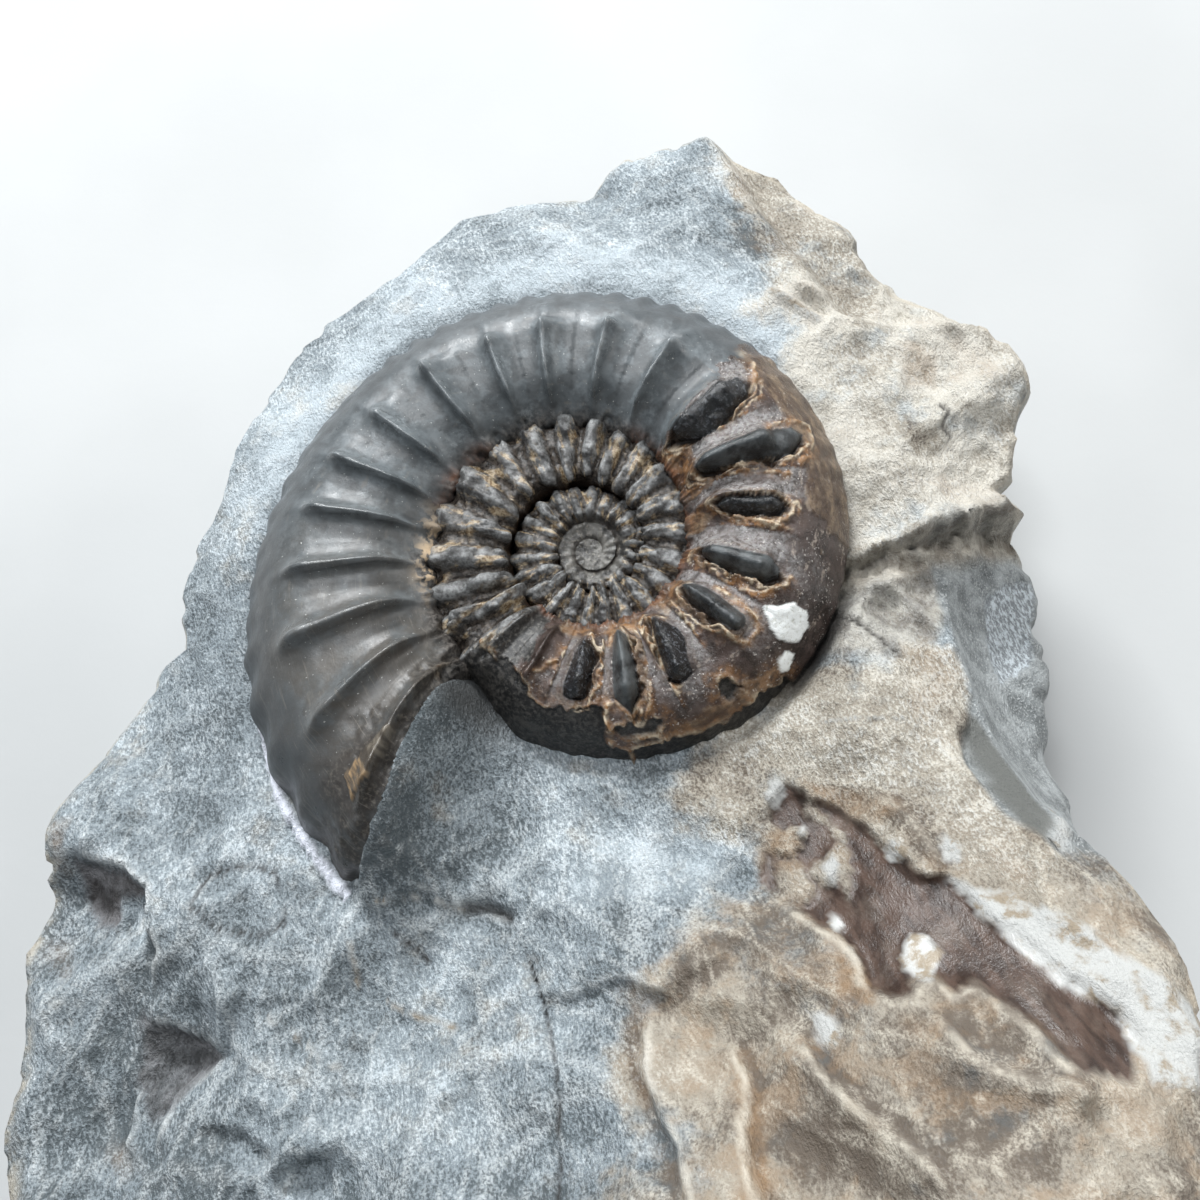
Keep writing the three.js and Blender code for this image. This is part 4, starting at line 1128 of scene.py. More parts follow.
# Radius at which the face begins under the shell, against the direction from the shell's axis.
HUB_RADIUS = [(225, 10), (270, 12), (360, 15.5), (450, 18), (530, 21), (560, 19), (585, 10)]
HUB_DEPTH = 2.0
RIM_ROUNDING = 0.5
HIGHEST = 25.0
BASE_CENTRE, BASE_SHRINK = (-2, -7), 0.84  # the base is drawn in towards this centre
# Zones of the face that carry on over the rim, and how much of each is left down the sides.
LASTING = {"warm": 0.4, "facet": 0.4, "tone": 0.15}


def rim_radius(turn):
    """Where rays from the shell's axis meet the rim."""
    best = np.zeros_like(turn)
    dx, dy = np.cos(turn), np.sin(turn)
    for (ax, ay), (bx, by) in zip(RIM, [*RIM[1:], RIM[0]]):
        ex, ey = bx - ax, by - ay
        span = dx * ey - dy * ex
        span = np.where(np.abs(span) < 1e-9, 1e-9, span)
        share = (ax * dy - ay * dx) / span
        reach = (ax * ey - ay * ex) / span
        best = np.where((share >= -1e-9) & (share <= 1 + 1e-9), np.maximum(best, reach), best)
    return best


def spoke_turns():
    """Directions of the spokes, spaced by their length along the rim."""
    dense = np.linspace(0, 2 * math.pi, 4001)
    reach = rim_radius(dense)
    weight = 0.5 + reach / 40
    total = np.concatenate([[0], np.cumsum((weight[1:] + weight[:-1]) / 2)])
    return np.interp(np.linspace(0, total[-1], SPOKES + 1)[:-1], total, dense)


def ragged_rim(turns):
    """The rim with its jags and bites."""
    plain = rim_radius(turns)
    x, y = np.cos(turns) * plain, np.sin(turns) * plain
    return plain + 0.45 * lumps(x, y, 3, 2.0, 4) - 0.55 * smooth(0.1, 0.55, lumps(x, y, 1.7, 12.0, 2))


def block_face(turns, rims):
    """Rings of points from the hub under the shell out to the rim, and their masks."""
    t = np.linspace(0, 1, FACE_RINGS)[:, None]
    hubs = curve(HUB_RADIUS, (np.degrees(turns) - LAST_WHORL) % 360 + LAST_WHORL)
    radius = hubs + (rims - hubs) * (0.8 * t + 0.2 * t**2)
    x, y = radius * np.cos(turns), radius * np.sin(turns)
    masks = stone_masks(x, y)
    edge = smooth(0.96, 1.0, t)
    z = face_base(x, y) + face_relief(x, y, masks) * (1 - 0.3 * edge) - RIM_ROUNDING * edge**2
    masks["rim"] = smooth(0.965, 1.0, t) * np.ones_like(x)
    return np.stack([x, y, eased(z, HIGHEST - 4, 4)], -1), masks


def block_sides(turns, rims, rim_points, rim_masks):
    """Rows of points from the rim down to a flat base that is drawn in under it, and their masks."""
    down = np.linspace(0, 1, SIDE_ROWS + 1)[1:, None]
    down = 0.8 * down + 0.2 * down**2
    fading = smooth(0, 0.35, down)
    plain = rim_radius(turns)
    x = mix(rim_points[:, 0], plain * np.cos(turns), fading)
    y = mix(rim_points[:, 1], plain * np.sin(turns), fading)
    z = mix(rim_points[:, 2], -MID_PLANE_Z, down)
    height = z + MID_PLANE_Z
    ledge = noise(x / 9, y / 9, height / 6) + 0.6 * noise(x / 4, y / 4, height / 3)
    near, second = cells(x / 8, y / 8, z / 6.5)
    small, _ = cells(x / 3, y / 3, z / 2.6, seed=5.0)
    chips = 2.2 * (near**2 - 0.3) + 0.5 * (small**2 - 0.3) + 0.25 * fractal(x / 1.6, y / 1.6, z / 1.2, 3)
    swell = 1.6 * np.sin(math.pi * np.minimum(1, 1.6 * down)) + 1.1 * ledge * np.sin(math.pi * down)
    swell = swell + chips * np.sin(math.pi * np.minimum(1, down * 1.02)) ** 0.7
    reach = mix(1, BASE_SHRINK, down**1.7) + swell / rims
    points = np.stack([mix(BASE_CENTRE[0], x, reach), mix(BASE_CENTRE[1], y, reach), z], -1)
    masks = {name: np.zeros_like(z) for name in rim_masks}
    for name, left in LASTING.items():
        masks[name] = rim_masks[name] * mix(1, left, smooth(0, 0.45, down))
    # Painted highlight along the edges of the chips down the sides.
    masks["crest"] = smooth(0.12, 0, second - near)
    masks["rim"] = smooth(0.2, 0, down) * np.ones_like(z)
    return points, masks


def block_mesh():
    """The face, the sides and the base as one closed mesh; a hidden fan closes it under the shell."""
    turns = spoke_turns()
    rims = ragged_rim(turns)
    face, face_masks = block_face(turns, rims)
    rim_masks = {name: mask[-1] for name, mask in face_masks.items()}
    sides, side_masks = block_sides(turns, rims, face[-1], rim_masks)
    rings = np.concatenate([face, sides])
    ids = np.arange(rings[..., 0].size).reshape(rings.shape[:2])
    following = np.roll(ids, -1, axis=1)
    quads = np.stack([ids[:-1], ids[1:], following[1:], following[:-1]], -1).reshape(-1, 4)
    fan = np.stack([np.full(SPOKES, ids.size), ids[0], following[0]], -1)
    points = np.vstack([rings.reshape(-1, 3), [[0, 0, -HUB_DEPTH]]])
    faces = [*quads.tolist(), *fan.tolist(), ids[-1][::-1].tolist()]
    flags = {name: np.append(np.concatenate([face_masks[name], side_masks[name]]), 0) for name in face_masks}
    return points, faces, flags


# ---- materials ----

class Shader:
    """A material's node tree, built with short calls. Values are sockets or numbers."""

    def __init__(self, name):
        self.material = bpy.data.materials.new(name)
        self.material.use_nodes = True
        self.tree = self.material.node_tree
        self.tree.nodes.clear()
        self.output = self.tree.nodes.new("ShaderNodeOutputMaterial")
        self.bsdf = self.node("ShaderNodeBsdfPrincipled")
        self.tree.links.new(self.bsdf.outputs[0], self.output.inputs["Surface"])
        self.place = self.node("ShaderNodeTexCoord").outputs["Object"]

    def node(self, kind, **settings):
        made = self.tree.nodes.new(kind)
        for key, value in settings.items():
            setattr(made, key, value)
        return made

    def put(self, socket, value):
        if isinstance(value, bpy.types.NodeSocket):
            self.tree.links.new(value, socket)
        elif isinstance(value, (tuple, list)) and socket.type == "RGBA":
            socket.default_value = (*value[:3], 1)
        else:
            socket.default_value = value

    def flag(self, name):
        """One of the values that the mesh keeps at its vertices."""
        return self.node("ShaderNodeAttribute", attribute_name=name).outputs["Fac"]

    def math(self, operation, *values, clamp=False):
        made = self.node("ShaderNodeMath", operation=operation, use_clamp=clamp)
        for socket, value in zip(made.inputs, values):
            self.put(socket, value)
        return made.outputs[0]

    def times(self, a, b, clamp=False):
        return self.math("MULTIPLY", a, b, clamp=clamp)

    def plus(self, a, b, clamp=False):
        return self.math("ADD", a, b, clamp=clamp)

    def stretched(self, lengths, turn):
        """Coordinates that draw a pattern out by these lengths, along axes turned about the vertical."""
        made = self.node("ShaderNodeMapping", vector_type="TEXTURE")
        self.put(made.inputs["Vector"], self.place)
        made.inputs["Rotation"].default_value = (0, 0, turn)
        made.inputs["Scale"].default_value = lengths
        return made.outputs[0]

    def along_shell(self, degrees, share):
        """Coordinates that follow the shell: a millimetre is this many degrees, and this share."""
        made = self.node("ShaderNodeCombineXYZ")
        self.put(made.inputs[0], self.times(self.flag("angle"), MM / degrees))
        self.put(made.inputs[1], self.times(self.flag("share"), MM / share))
        return made.outputs[0]

    def noise(self, size_mm, detail, rough, place=None):
        made = self.node("ShaderNodeTexNoise")
        self.put(made.inputs["Vector"], place or self.place)
        self.put(made.inputs["Scale"], 1 / (size_mm * MM))
        self.put(made.inputs["Detail"], detail)
        self.put(made.inputs["Roughness"], rough)
        return made.outputs["Fac"]

    def ramp(self, value, low, high, out_low=0.0, out_high=1.0):
        """Runs smoothly from out_low, where the value is low, to out_high, where it is high."""
        made = self.node("ShaderNodeMapRange", interpolation_type="SMOOTHSTEP")
        for socket, v in zip(made.inputs, (value, low, high, out_low, out_high)):
            self.put(socket, v)
        return made.outputs[0]

    def window(self, value, rise, fall):
        """One between the rise and the fall, zero outside them."""
        return self.times(self.ramp(value, *rise), self.ramp(value, *fall[::-1]))

    def mix(self, factor, a, b):
        made = self.node("ShaderNodeMix", data_type="RGBA")
        self.put(made.inputs[0], factor)
        self.put(made.inputs[6], a)
        self.put(made.inputs[7], b)
        return made.outputs[2]

    def shades(self, value, low, high, pair):
        """Runs from the first colour of a pair, where the value is low, to the second."""
        return self.mix(self.ramp(value, low, high), *pair)

    def layered(self, colour, layers):
        """Lays tones over a colour, in order; each layer says where it lies, and its tone."""
        for where, tone in layers:
            colour = self.mix(where, colour, tone)
        return colour

    def bump(self, height, distance_mm, strength):
        made = self.node("ShaderNodeBump")
        self.put(made.inputs["Strength"], strength)
        self.put(made.inputs["Distance"], distance_mm * MM)
        self.put(made.inputs["Height"], height)
        return made.outputs[0]

    def finish(self, colour, roughness, normal):
        self.put(self.bsdf.inputs["Base Color"], colour)
        self.put(self.bsdf.inputs["Roughness"], roughness)
        self.put(self.bsdf.inputs["Normal"], normal)
        return self.material


def gloss(roughness):
    """A roughness as a grey, so that it mixes as colours do."""
    return (roughness, roughness, roughness)


# ---- the limestone's material ----

# Linear colours; a pair or a three runs from dark to light.
BLUE_STONE = ((0.088, 0.108, 0.118), (0.255, 0.298, 0.325), (0.52, 0.59, 0.635))
TAN_STONE = ((0.120, 0.096, 0.074), (0.34, 0.305, 0.25), (0.66, 0.63, 0.56))
RUST_STAIN = (0.27, 0.17, 0.09)
WHITE_BLOOM = (0.76, 0.81, 0.84)
# Painted highlights for edges, on blue stone and on tan stone.
BLUE_EDGE_HIGHLIGHT, TAN_EDGE_HIGHLIGHT = (0.74, 0.77, 0.77), (0.62, 0.57, 0.48)
WEATHERED_RIM = (0.56, 0.50, 0.40)
TRENCH_STONE = ((0.24, 0.205, 0.165), (0.58, 0.54, 0.465))
FACET_STONE = ((0.18, 0.196, 0.199), (0.40, 0.426, 0.432))
FACET_SPECKS, FACET_SHADE = (0.62, 0.64, 0.64), (0.15, 0.155, 0.145)
SCAR_STONE = ((0.25, 0.27, 0.285), (0.64, 0.70, 0.74))
CHIP_STONE = ((0.048, 0.043, 0.042), (0.235, 0.232, 0.24))
BROWN_STONE, BROWN_HAZE_AND_SHEEN = ((0.032, 0.019, 0.014), (0.085, 0.054, 0.041)), (0.20, 0.16, 0.13)
VEIN_WHITE, VEIN_STAIN = (0.50, 0.505, 0.49), (0.30, 0.25, 0.185)
LIP_WHITE = (0.80, 0.83, 0.92)
CRACK_AND_SHADOW_DARK, PIT_DARK = (0.030, 0.026, 0.023), (0.06, 0.062, 0.065)
STROKE_TURN, SILK_TURN = 0.42, 0.5  # how far the strokes and the flake's silk are turned, in radians


def stone_value(s):
    """How light the stone is, from 0 to 1, before its blooms and patches."""
    speckle = s.plus(s.ramp(s.strokes, 0.32, 0.68, -0.2, 0.2), s.ramp(s.grain, 0.32, 0.68, -0.17, 0.17))
    speckle = s.times(speckle, s.ramp(s.tone, 0.2, 0.9, 1.0, 0.5))
    value = s.math("MULTIPLY_ADD", s.tone, 0.36, s.ramp(s.clouds, 0.32, 0.68, 0.31, 0.64))
    value = s.plus(value, s.ramp(s.broad, 0.34, 0.66, -0.11, 0.11))
    value = s.plus(value, s.ramp(s.mottle, 0.35, 0.65, -0.08, 0.08))
    value = s.math("MULTIPLY_ADD", speckle, s.ramp(s.calm, 0.0, 1.0, 1.0, 0.45), value)
    # Painted shade in hollows and a painted highlight on crests.
    for flag, change in ((s.flag("hollow"), -0.36), (s.calm, -0.05), (s.crest, 0.12)):
        value = s.math("MULTIPLY_ADD", flag, change, value)
    return value


def stone_body(s):
    """Blue-grey and tan stone, and the rust in the tan."""
    value = stone_value(s)

    def three_shades(dark, middle, light):
        return s.mix(s.ramp(value, 0.5, 0.95), s.shades(value, 0.05, 0.5, (dark, middle)), light)

    warmer = s.plus(s.warm, s.ramp(s.noise(2.4, 6, 0.65), 0.3, 0.7, -0.3, 0.3))
    warmer = s.plus(warmer, s.ramp(s.clouds, 0.3, 0.7, -0.25, 0.25), clamp=True)
    colour = s.shades(warmer, 0.1, 0.9, (three_shades(*BLUE_STONE), three_shades(*TAN_STONE)))
    cloudy = s.times(s.warm, s.ramp(s.clouds, 0.54, 0.68, 0.0, 0.5))
    drawn = s.times(s.calm, s.ramp(s.broad, 0.48, 0.6, 0.0, 0.55))
    rust = s.plus(s.flag("rust"), s.math("MAXIMUM", cloudy, drawn), clamp=True)
    return s.mix(s.times(rust, s.ramp(s.mottle, 0.32, 0.6, 0.35, 0.85)), colour, RUST_STAIN)


def stone_bloom(s, colour):
    """A white bloom lies in strokes and patches, and crests and ledge edges take a painted highlight."""
    bloom = s.times(s.ramp(s.strokes, 0.46, 0.66), s.ramp(s.noise(4.0, 6, 0.68), 0.42, 0.62, 0.12, 0.72))
    bloom = s.times(bloom, s.ramp(s.tone, -0.6, 0.5, 0.25, 1.0))
    bloom = s.times(bloom, s.ramp(s.warm, 0.2, 0.9, 1.0, 0.4))
    bloom = s.times(bloom, s.ramp(s.calm, 0.0, 1.0, 1.0, 0.3))
    colour = s.mix(bloom, colour, WHITE_BLOOM)
    # Painted highlight on crests and ledge edges.
    edges = s.mix(s.warm, BLUE_EDGE_HIGHLIGHT, TAN_EDGE_HIGHLIGHT)
    colour = s.mix(s.times(s.crest, s.ramp(s.grain, 0.4, 0.62, 0.1, 0.6)), colour, edges)
    colour = s.mix(s.times(s.flag("ledge_highlight"), s.ramp(s.mottle, 0.36, 0.56, 0.3, 0.9)), colour, edges)
    weathered = s.times(s.flag("rim"), s.ramp(s.mottle, 0.4, 0.6, 0.1, 0.75))
    return s.mix(weathered, colour, WEATHERED_RIM)


def facet_colour(s):
    """The smooth break on the right, speckled and shaded."""
    facet = s.shades(s.mottle, 0.38, 0.66, FACET_STONE)
    facet = s.mix(s.times(s.ramp(s.grain, 0.54, 0.62), 0.55), facet, FACET_SPECKS)
    return s.mix(s.ramp(s.tone, -0.3, -0.8), facet, FACET_SHADE)


def brown_flake_colour(s):
    """Silky dark brown, hazed in places; the pale hazing is partly painted sheen."""
    silk = s.noise(0.8, 5, 0.6, s.stretched((1.0, 6.0, 2.0), SILK_TURN))
    return s.mix(s.ramp(s.broad, 0.5, 0.66, 0.0, 0.3), s.shades(silk, 0.36, 0.64, BROWN_STONE), BROWN_HAZE_AND_SHEEN)


def stone_patches(s, colour):
    """The face's zones, each in its own stone, then the cracks and pits."""
    stains = s.times(s.ramp(s.mottle, 0.53, 0.41), s.ramp(s.broad, 0.40, 0.52))
    zones = (
        (s.times(s.flag("trench"), 0.7), s.shades(s.mottle, 0.36, 0.64, TRENCH_STONE)),
        (s.flag("facet"), facet_colour(s)),
        (s.flag("scar"), s.shades(s.strokes, 0.42, 0.6, SCAR_STONE)),
        (s.flag("chip"), s.shades(s.mottle, 0.36, 0.66, CHIP_STONE)),
        (s.flag("flake"), brown_flake_colour(s)),
        (s.flag("vein"), s.mix(stains, VEIN_WHITE, VEIN_STAIN)),
        (s.flag("line"), LIP_WHITE),
        # Cracks, and painted shadow beside the shell and under the scarp.
        (s.times(s.flag("crack"), 0.88, clamp=True), CRACK_AND_SHADOW_DARK),
        (s.times(s.ramp(s.fine, 0.28, 0.42, 0.4, 0.0), s.ramp(s.calm, 0.0, 1.0, 1.0, 0.4)), PIT_DARK),
    )
    return s.layered(colour, zones)


def stone_material():
    s = Shader("limestone")
    s.strokes = s.noise(0.2, 4, 0.68, s.stretched((1.0, 2.4, 1.5), STROKE_TURN))
    s.grain, s.fine = s.noise(0.18, 3, 0.6), s.noise(0.12, 2, 0.6)
    s.mottle, s.broad, s.clouds = s.noise(1.9, 6, 0.62), s.noise(3.6, 6, 0.62), s.noise(8.0, 5, 0.55)
    s.warm, s.tone, s.crest, s.calm = s.flag("warm"), s.flag("tone"), s.flag("crest"), s.flag("calm")
    colour = stone_patches(s, stone_bloom(s, stone_body(s)))
    rough = s.mix(s.flag("flake"), gloss(0.66), gloss(0.34))
    rough = s.mix(s.times(s.flag("facet"), 0.8), rough, gloss(0.45))
    rough = s.mix(s.flag("chip"), rough, gloss(0.38))
    height = s.math("MULTIPLY_ADD", s.mottle, 0.55, s.times(s.strokes, 0.34))
    height = s.math("MULTIPLY_ADD", s.grain, 0.16, height)
    strength = s.times(s.ramp(s.flag("flake"), 0.0, 1.0, 1.0, 0.35), s.ramp(s.calm, 0.0, 1.0, 1.0, 0.7))
    return s.finish(colour, rough, s.bump(height, 1.0, strength))


# ---- the petrified shell's material ----

# Linear colours; a pair runs from dark to light.
PLAIN_SHELL, PLAIN_HAZE = ((0.080, 0.090, 0.095), (0.132, 0.149, 0.158)), (0.26, 0.29, 0.305)
# Painted shade for the hollows between the ribs, and a painted highlight for their crests.
HOLLOW_SHADE, CREST_HIGHLIGHT = (0.048, 0.050, 0.051), (0.24, 0.26, 0.27)
LATE_BROWN, TIP_BROWN = (0.078, 0.067, 0.055), (0.040, 0.032, 0.027)
WORN_SPOTS, PALE_SPECKS, VENTER_PAINTED_SHADE = (0.21, 0.195, 0.17), (0.50, 0.51, 0.49), (0.045, 0.049, 0.052)
SCUFFED_END, SCRATCHES = ((0.028, 0.023, 0.019), (0.13, 0.115, 0.095)), (0.24, 0.22, 0.19)
PURPLE_BROWN, BROWN_CLOUD_AND_SHEEN = ((0.022, 0.014, 0.011), (0.076, 0.054, 0.047)), (0.285, 0.278, 0.275)
BROWN_FLECKS = (0.36, 0.30, 0.25)
STREAKED_SKIN, PLAIN_SKIN = ((0.046, 0.024, 0.014), (0.25, 0.18, 0.115)), (0.082, 0.050, 0.030)
AMBER = ((0.048, 0.020, 0.009), (0.29, 0.145, 0.056))
SHELL_DUST = (0.58, 0.54, 0.50)
MOTTLED_DARK = ((0.018, 0.017, 0.016), (0.12, 0.115, 0.105))
RIB_GAP_SHADE = ((0.018, 0.015, 0.013), (0.080, 0.066, 0.054))
INNER_RIB, INNER_RIB_DARK = ((0.050, 0.050, 0.050), (0.25, 0.256, 0.256)), (0.030, 0.027, 0.025)
GOLDEN = ((0.20, 0.125, 0.055), (0.50, 0.40, 0.26))
EYE, EYE_SPECKS = ((0.030, 0.029, 0.028), (0.135, 0.130, 0.118)), (0.24, 0.22, 0.19)
SEAM_CRUST = ((0.028, 0.024, 0.022), (0.115, 0.105, 0.095))
RED_CRUST, CREAM_CRUST = (0.15, 0.062, 0.030), (0.50, 0.38, 0.25)
BLACK_STONE = ((0.008, 0.008, 0.008), (0.052, 0.049, 0.045))
BLACK_MOTTLE, BLACK_SPECKS = (0.070, 0.065, 0.058), (0.16, 0.15, 0.13)
RECESS_SHADE = (0.030, 0.019, 0.013)
TORN_EDGE = ((0.25, 0.135, 0.058), (0.62, 0.52, 0.38))
SMOOTH_CORE = ((0.016, 0.018, 0.019), (0.088, 0.098, 0.101))
ROUGH_CORE = ((0.010, 0.010, 0.011), (0.080, 0.086, 0.095))
OCHRE_FLAKE, OCHRE_DARK = ((0.16, 0.14, 0.112), (0.30, 0.20, 0.105)), (0.060, 0.050, 0.040)
CALCITE = ((0.62, 0.63, 0.58), (0.90, 0.93, 0.92))


def plain_shell(s):
    """Dark grey and hazed, brownish towards its broken end, and mottled where the worn side begins; painted
    shade lies in the hollows between ribs, a painted highlight on their crests, and painted shade and a dark
    reflection on the venter.
    """
    angle, share, lift = s.angle, s.share, s.lift
    scratches = s.ramp(s.noise(0.5, 4, 0.6, s.along_shell(12.0, 0.012)), 0.6, 0.68)
    scratches = s.times(scratches, s.ramp(angle, 525, 570))
    scuffed = s.times(s.flag("scuff"), s.ramp(s.mottle, 0.35, 0.6, 0.2, 0.9))
    late = s.times(s.ramp(angle, 520, 575), s.ramp(s.smear, 0.35, 0.6, 0.35, 1.0))
    tip = s.times(s.ramp(angle, 572, 584), s.ramp(share, 0.25, 0.6))
    spots = s.times(s.ramp(s.growth, 0.58, 0.7), s.ramp(s.mottle, 0.4, 0.6))
    layers = (
        (s.times(s.ramp(s.smear, 0.48, 0.7, 0.0, 0.6), s.ramp(s.grain, 0.35, 0.65)), PLAIN_HAZE),
        # Painted shade in the hollows and a painted highlight on the crests, read from the relief.
        (s.ramp(lift, -0.12, -0.42, 0.0, 0.5), HOLLOW_SHADE),
        (s.ramp(lift, 0.6, 1.3, 0.0, 0.3), CREST_HIGHLIGHT),
        (s.times(late, 0.8), LATE_BROWN),
        (s.times(tip, s.ramp(s.smear, 0.36, 0.56, 0.3, 0.9)), TIP_BROWN),
        (s.times(spots, 0.5), WORN_SPOTS),
        (s.times(s.ramp(s.noise(0.2, 2, 0.5), 0.7, 0.75), 0.8), PALE_SPECKS),
        # The venter is painted darker: painted shade and a painted dark reflection.
        (s.times(s.ramp(share, 0.6, 0.86), 0.72), VENTER_PAINTED_SHADE),
        (scuffed, s.shades(s.grain, 0.46, 0.72, SCUFFED_END)),
        (s.times(scratches, 0.45), SCRATCHES),
        (s.ramp(angle, 262, 250), s.shades(s.grain, 0.45, 0.68, MOTTLED_DARK)),
    )
    return s.layered(s.shades(s.mottle, 0.35, 0.7, PLAIN_SHELL), layers)


def worn_shell(s):
    """Glossy purple-brown, with clouded, flecked, streaked and amber parts, and dust; the pale clouding on
    the lit sides of the interspaces is partly painted sheen.
    """
    # Pale clouding: partly the shell's own, partly painted sheen on the lit sides of the interspaces.
    cloud_and_sheen = s.times(s.flag("haze_and_sheen"), s.ramp(s.smear, 0.3, 0.5))
    cloud_and_sheen = s.plus(cloud_and_sheen, s.times(s.ramp(s.smear, 0.54, 0.68), 0.35), clamp=True)
    flecks = s.times(s.ramp(s.growth, 0.56, 0.66), s.ramp(s.share, 0.5, 0.7))
    flecks = s.times(flecks, s.ramp(s.grain, 0.4, 0.6))
    streaked = s.shades(s.growth, 0.38, 0.64, STREAKED_SKIN)
    skin = s.mix(s.ramp(s.noise(0.6, 5, 0.65), 0.42, 0.62), streaked, PLAIN_SKIN)
    amber_here = s.times(s.flag("amber"), s.ramp(s.smear, 0.34, 0.54, 0.05, 0.95), clamp=True)
    dust = s.times(s.ramp(s.noise(0.22, 3, 0.6), 0.6, 0.68), s.ramp(s.smear, 0.42, 0.6))
    layers = (
        (s.times(cloud_and_sheen, s.ramp(s.grain, 0.34, 0.62, 0.12, 0.82)), BROWN_CLOUD_AND_SHEEN),
        (s.times(flecks, 0.75), BROWN_FLECKS),
        (s.times(s.flag("film"), s.ramp(s.grain, 0.3, 0.55, 0.5, 0.95)), skin),
        (amber_here, s.shades(s.noise(0.7, 5, 0.65), 0.4, 0.6, AMBER)),
        (s.times(dust, 0.75), SHELL_DUST),
    )
    return s.layered(s.shades(s.mottle, 0.35, 0.65, PURPLE_BROWN), layers)


def inner_whorls(s):
    """Black in the gaps, as painted shade, and dull on the ribs, with golden and cream flanks; the eye is
    plain.
    """
    rib = s.shades(s.mottle, 0.36, 0.64, INNER_RIB)
    rib = s.mix(s.ramp(s.grain, 0.36, 0.56, 0.6, 0.0), rib, INNER_RIB_DARK)
    # The gaps between the ribs are painted dark: painted shade.
    whorls = s.shades(s.lift, -0.45, 0.5, (s.shades(s.grain, 0.4, 0.64, RIB_GAP_SHADE), rib))
    flank = s.window(s.lift, (-0.7, -0.2), (0.5, 1.3))
    golden = s.times(flank, s.ramp(s.noise(1.0, 5, 0.6, s.along_shell(6.0, 0.4)), 0.51, 0.62))
    whorls = s.mix(s.times(golden, 0.75), whorls, s.shades(s.grain, 0.4, 0.6, GOLDEN))
    eye = s.mix(s.ramp(s.grain, 0.54, 0.66, 0.0, 0.6), s.shades(s.mottle, 0.38, 0.62, EYE), EYE_SPECKS)
    return s.mix(s.flag("eye"), whorls, eye)


def seam_crust(s):
    """Crumbly and dark; reddish on the worn side and for a stretch of the last whorl, creamy after it."""
    reddish = s.math("MAXIMUM", s.window(s.angle, (492, 504), (522, 534)), s.ramp(s.angle, 436, 424))
    creamy = s.times(s.window(s.angle, (520, 534), (552, 568)), s.ramp(s.noise(1.1, 3, 0.6), 0.46, 0.56))
    crust = s.shades(s.grain, 0.4, 0.62, SEAM_CRUST)
    crust = s.mix(s.times(reddish, s.ramp(s.mottle, 0.4, 0.6, 0.2, 1.0)), crust, RED_CRUST)
    return s.mix(creamy, crust, CREAM_CRUST)


def broken_parts(s, colour):
    """Black stone, recesses, light edges of broken shell, the cores, the ochre flake and calcite."""
    black = s.shades(s.grain, 0.44, 0.64, BLACK_STONE)
    black = s.mix(s.ramp(s.mottle, 0.54, 0.68, 0.0, 0.6), black, BLACK_MOTTLE)
    black = s.mix(s.ramp(s.fine, 0.62, 0.7, 0.0, 0.6), black, BLACK_SPECKS)
    smooth_core = s.shades(s.mottle, 0.38, 0.62, SMOOTH_CORE)
    rough_core = s.shades(s.grain, 0.5, 0.66, ROUGH_CORE)
    ochre = s.mix(s.ramp(s.growth, 0.42, 0.6), OCHRE_DARK, s.shades(s.share, 0.5, 0.58, OCHRE_FLAKE))
    layers = (
        (s.flag("bare"), black),
        # Recesses, seams and grooves painted dark: painted shade.
        (s.times(s.flag("recess"), 0.9), RECESS_SHADE),
        (s.times(s.flag("edge"), 0.9, clamp=True), s.shades(s.noise(0.6, 4, 0.6), 0.4, 0.6, TORN_EDGE)),
        (s.core, s.mix(s.coarse, smooth_core, rough_core)),
        (s.flag("flake"), ochre),
        (s.flag("calcite"), s.shades(s.grain, 0.3, 0.5, CALCITE)),
    )
    return s.layered(colour, layers)


def shell_roughness(s, inner, worn):
    """Satin on plain shell, glossier on the worn side and the inner whorls, dull on calcite."""
    satin = s.plus(s.ramp(s.mottle, 0.3, 0.7, -0.06, 0.06), s.ramp(s.lift, -0.35, 0.6, 0.46, 0.28))
    rough = s.mix(inner, satin, gloss(0.24))
    rough = s.mix(worn, rough, s.mix(s.flag("film"), gloss(0.19), gloss(0.30)))
    rough = s.mix(s.flag("bare"), rough, gloss(0.36))
    rough = s.mix(s.core, rough, s.mix(s.coarse, gloss(0.29), gloss(0.2)))
    return s.mix(s.flag("calcite"), rough, gloss(0.6))


def shell_material():
    s = Shader("petrified_shell")
    s.angle, s.share, s.lift = s.flag("angle"), s.flag("share"), s.flag("lift")
    s.core, s.coarse = s.flag("core"), s.flag("coarse")
    s.smear, s.mottle = s.noise(3.0, 5, 0.62), s.noise(1.3, 6, 0.65)
    s.grain, s.fine = s.noise(0.3, 5, 0.65), s.noise(0.1, 3, 0.6)
    s.growth = s.noise(1.0, 5, 0.6, s.along_shell(7.0, 0.05))
    inner = s.ramp(s.angle, 240, 222)
    worn = s.window(s.angle, (238, 254), (407, 419))
    worn = s.ramp(s.plus(worn, s.ramp(s.noise(1.5, 5, 0.65), 0.3, 0.7, -0.3, 0.3), clamp=True), 0.4, 0.6)
    colour = s.mix(worn, plain_shell(s), worn_shell(s))
    colour = s.mix(inner, colour, inner_whorls(s))
    crusted = s.times(s.flag("crust"), s.ramp(s.smear, 0.36, 0.56, 0.5, 1.0))
    colour = broken_parts(s, s.mix(crusted, colour, seam_crust(s)))
    height = s.plus(s.grain, s.times(s.fine, 0.4))
    strength = s.plus(s.times(s.plus(worn, inner, clamp=True), 0.5), 0.22)
    return s.finish(colour, shell_roughness(s, inner, worn), s.bump(height, 0.13, strength))


# ---- floor, light and camera ----

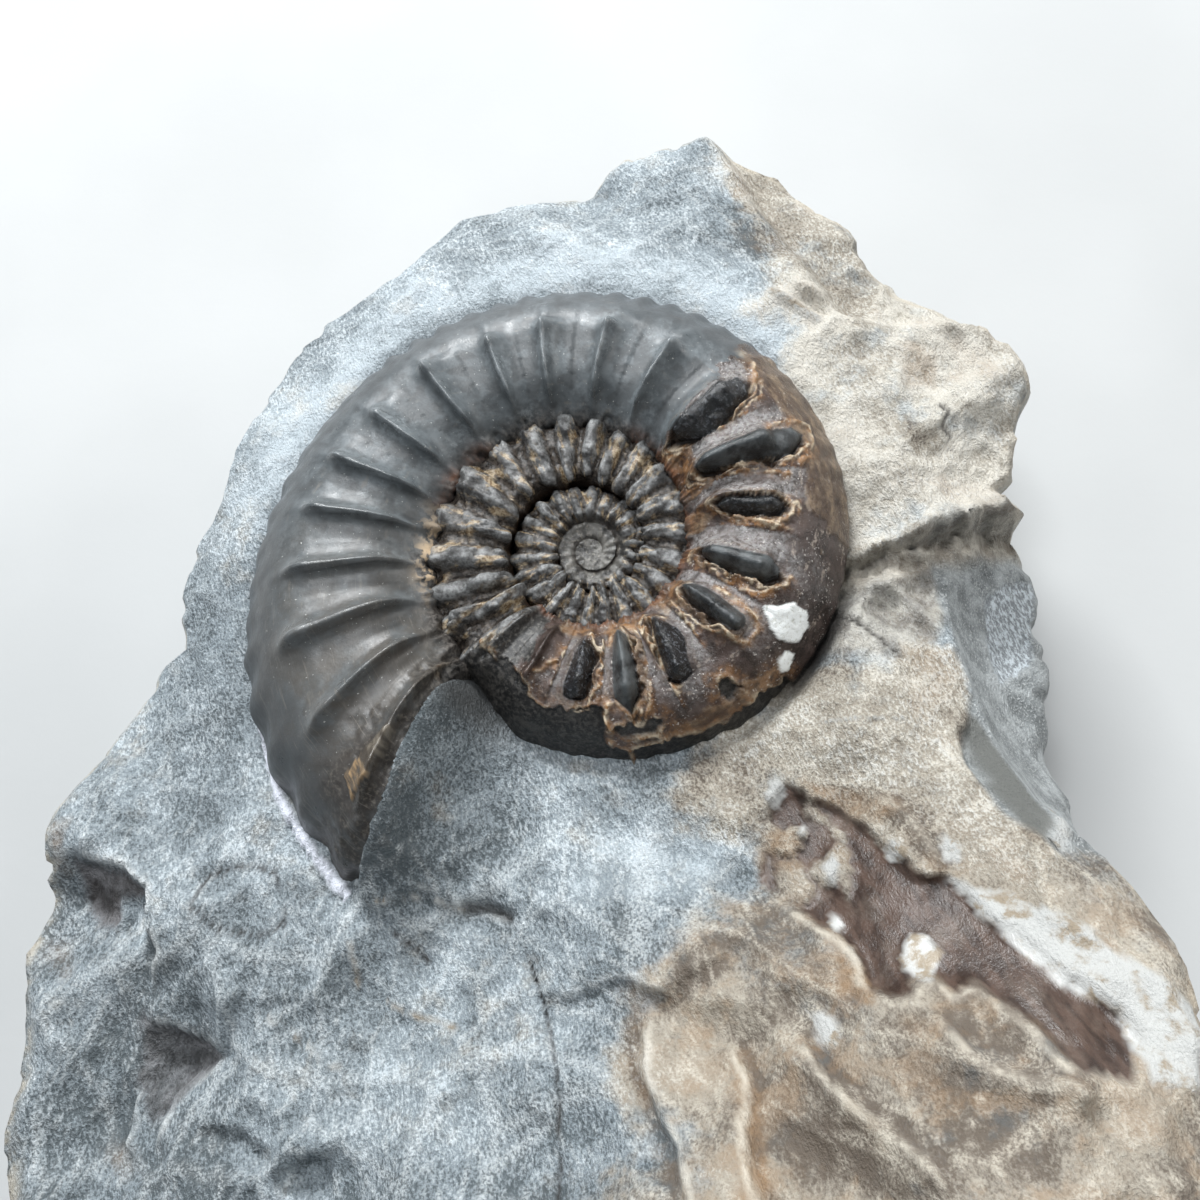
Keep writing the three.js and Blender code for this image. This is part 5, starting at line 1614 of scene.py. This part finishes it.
FLOOR_SIZE = 3
PALE_PAPER = ((0.47, 0.48, 0.48), (0.51, 0.52, 0.52))
WORLD_COLOUR, WORLD_STRENGTH = (0.80, 0.86, 0.92, 1), 0.19
LIGHT_AIM = (0, 0, 0.03)
LIGHTS = [  # name, place, size, power and colour
    ("key", (-0.11, 0.36, 0.29), (0.16, 0.10), 2.85, (0.97, 0.99, 1.0)),
    ("overhead", (-0.05, 0.12, 0.45), (0.14, 0.09), 1.25, (0.96, 0.98, 1.0)),
    ("fill", (-0.35, -0.10, 0.28), (0.25, 0.25), 0.2, (0.9, 0.95, 1.0)),
    ("rim", (0.34, 0.12, 0.22), (0.20, 0.20), 0.55, (1.0, 0.98, 0.95)),
]
CAMERA_PLACE = (0.01146, -0.02637, 0.11088)
CAMERA_RIGHT = (0.9925, 0.0315, -0.1177)
CAMERA_UP = (0, 0.9659, 0.2588)
CAMERA_BACK = (0.1219, -0.2569, 0.9587)
CAMERA_LENS = CAMERA_SENSOR = 36
CAMERA_CLIP = 0.005


def pale_floor():
    bpy.ops.mesh.primitive_plane_add(size=FLOOR_SIZE)
    floor = bpy.context.object
    floor.name = "floor"
    s = Shader("pale_paper")
    tone = s.shades(s.noise(40, 3, 0.5), 0.3, 0.7, PALE_PAPER)
    floor.data.materials.append(s.finish(tone, 0.9, s.bump(s.noise(1.5, 3, 0.6), 0.05, 0.3)))


def soft_light(name, place, size, power, colour):
    data = bpy.data.lights.new(name, "AREA")
    data.shape = "RECTANGLE"
    data.size, data.size_y = size
    data.energy, data.color = power, colour
    light = bpy.data.objects.new(name, data)
    light.location = place
    light.rotation_euler = (Vector(LIGHT_AIM) - Vector(place)).to_track_quat("-Z", "Y").to_euler()
    bpy.context.scene.collection.objects.link(light)


def studio():
    world = bpy.data.worlds.new("studio")
    world.use_nodes = True
    world.node_tree.nodes["Background"].inputs[0].default_value = WORLD_COLOUR
    world.node_tree.nodes["Background"].inputs[1].default_value = WORLD_STRENGTH
    bpy.context.scene.world = world
    for light in LIGHTS:
        soft_light(*light)


def photo_camera():
    data = bpy.data.cameras.new("camera")
    data.sensor_width, data.lens = CAMERA_SENSOR, CAMERA_LENS
    data.clip_start = CAMERA_CLIP
    camera = bpy.data.objects.new("camera", data)
    turned = [[*axes, 0] for axes in zip(CAMERA_RIGHT, CAMERA_UP, CAMERA_BACK)] + [[0, 0, 0, 1]]
    camera.matrix_world = Matrix(turned)
    camera.location = CAMERA_PLACE
    bpy.context.scene.collection.objects.link(camera)
    bpy.context.scene.camera = camera


def piece(name, built, node, material):
    points, faces, flags = built
    made = mesh_object(name, points, faces, flags)
    made.data.materials.append(material)
    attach(made, "root")
    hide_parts(node)


piece("ammonite_shell", shell_mesh(), "ammonite", shell_material())
piece("limestone_block", block_mesh(), "matrix", stone_material())
pale_floor()
studio()
photo_camera()
bpy.context.scene.view_settings.view_transform = "Standard"
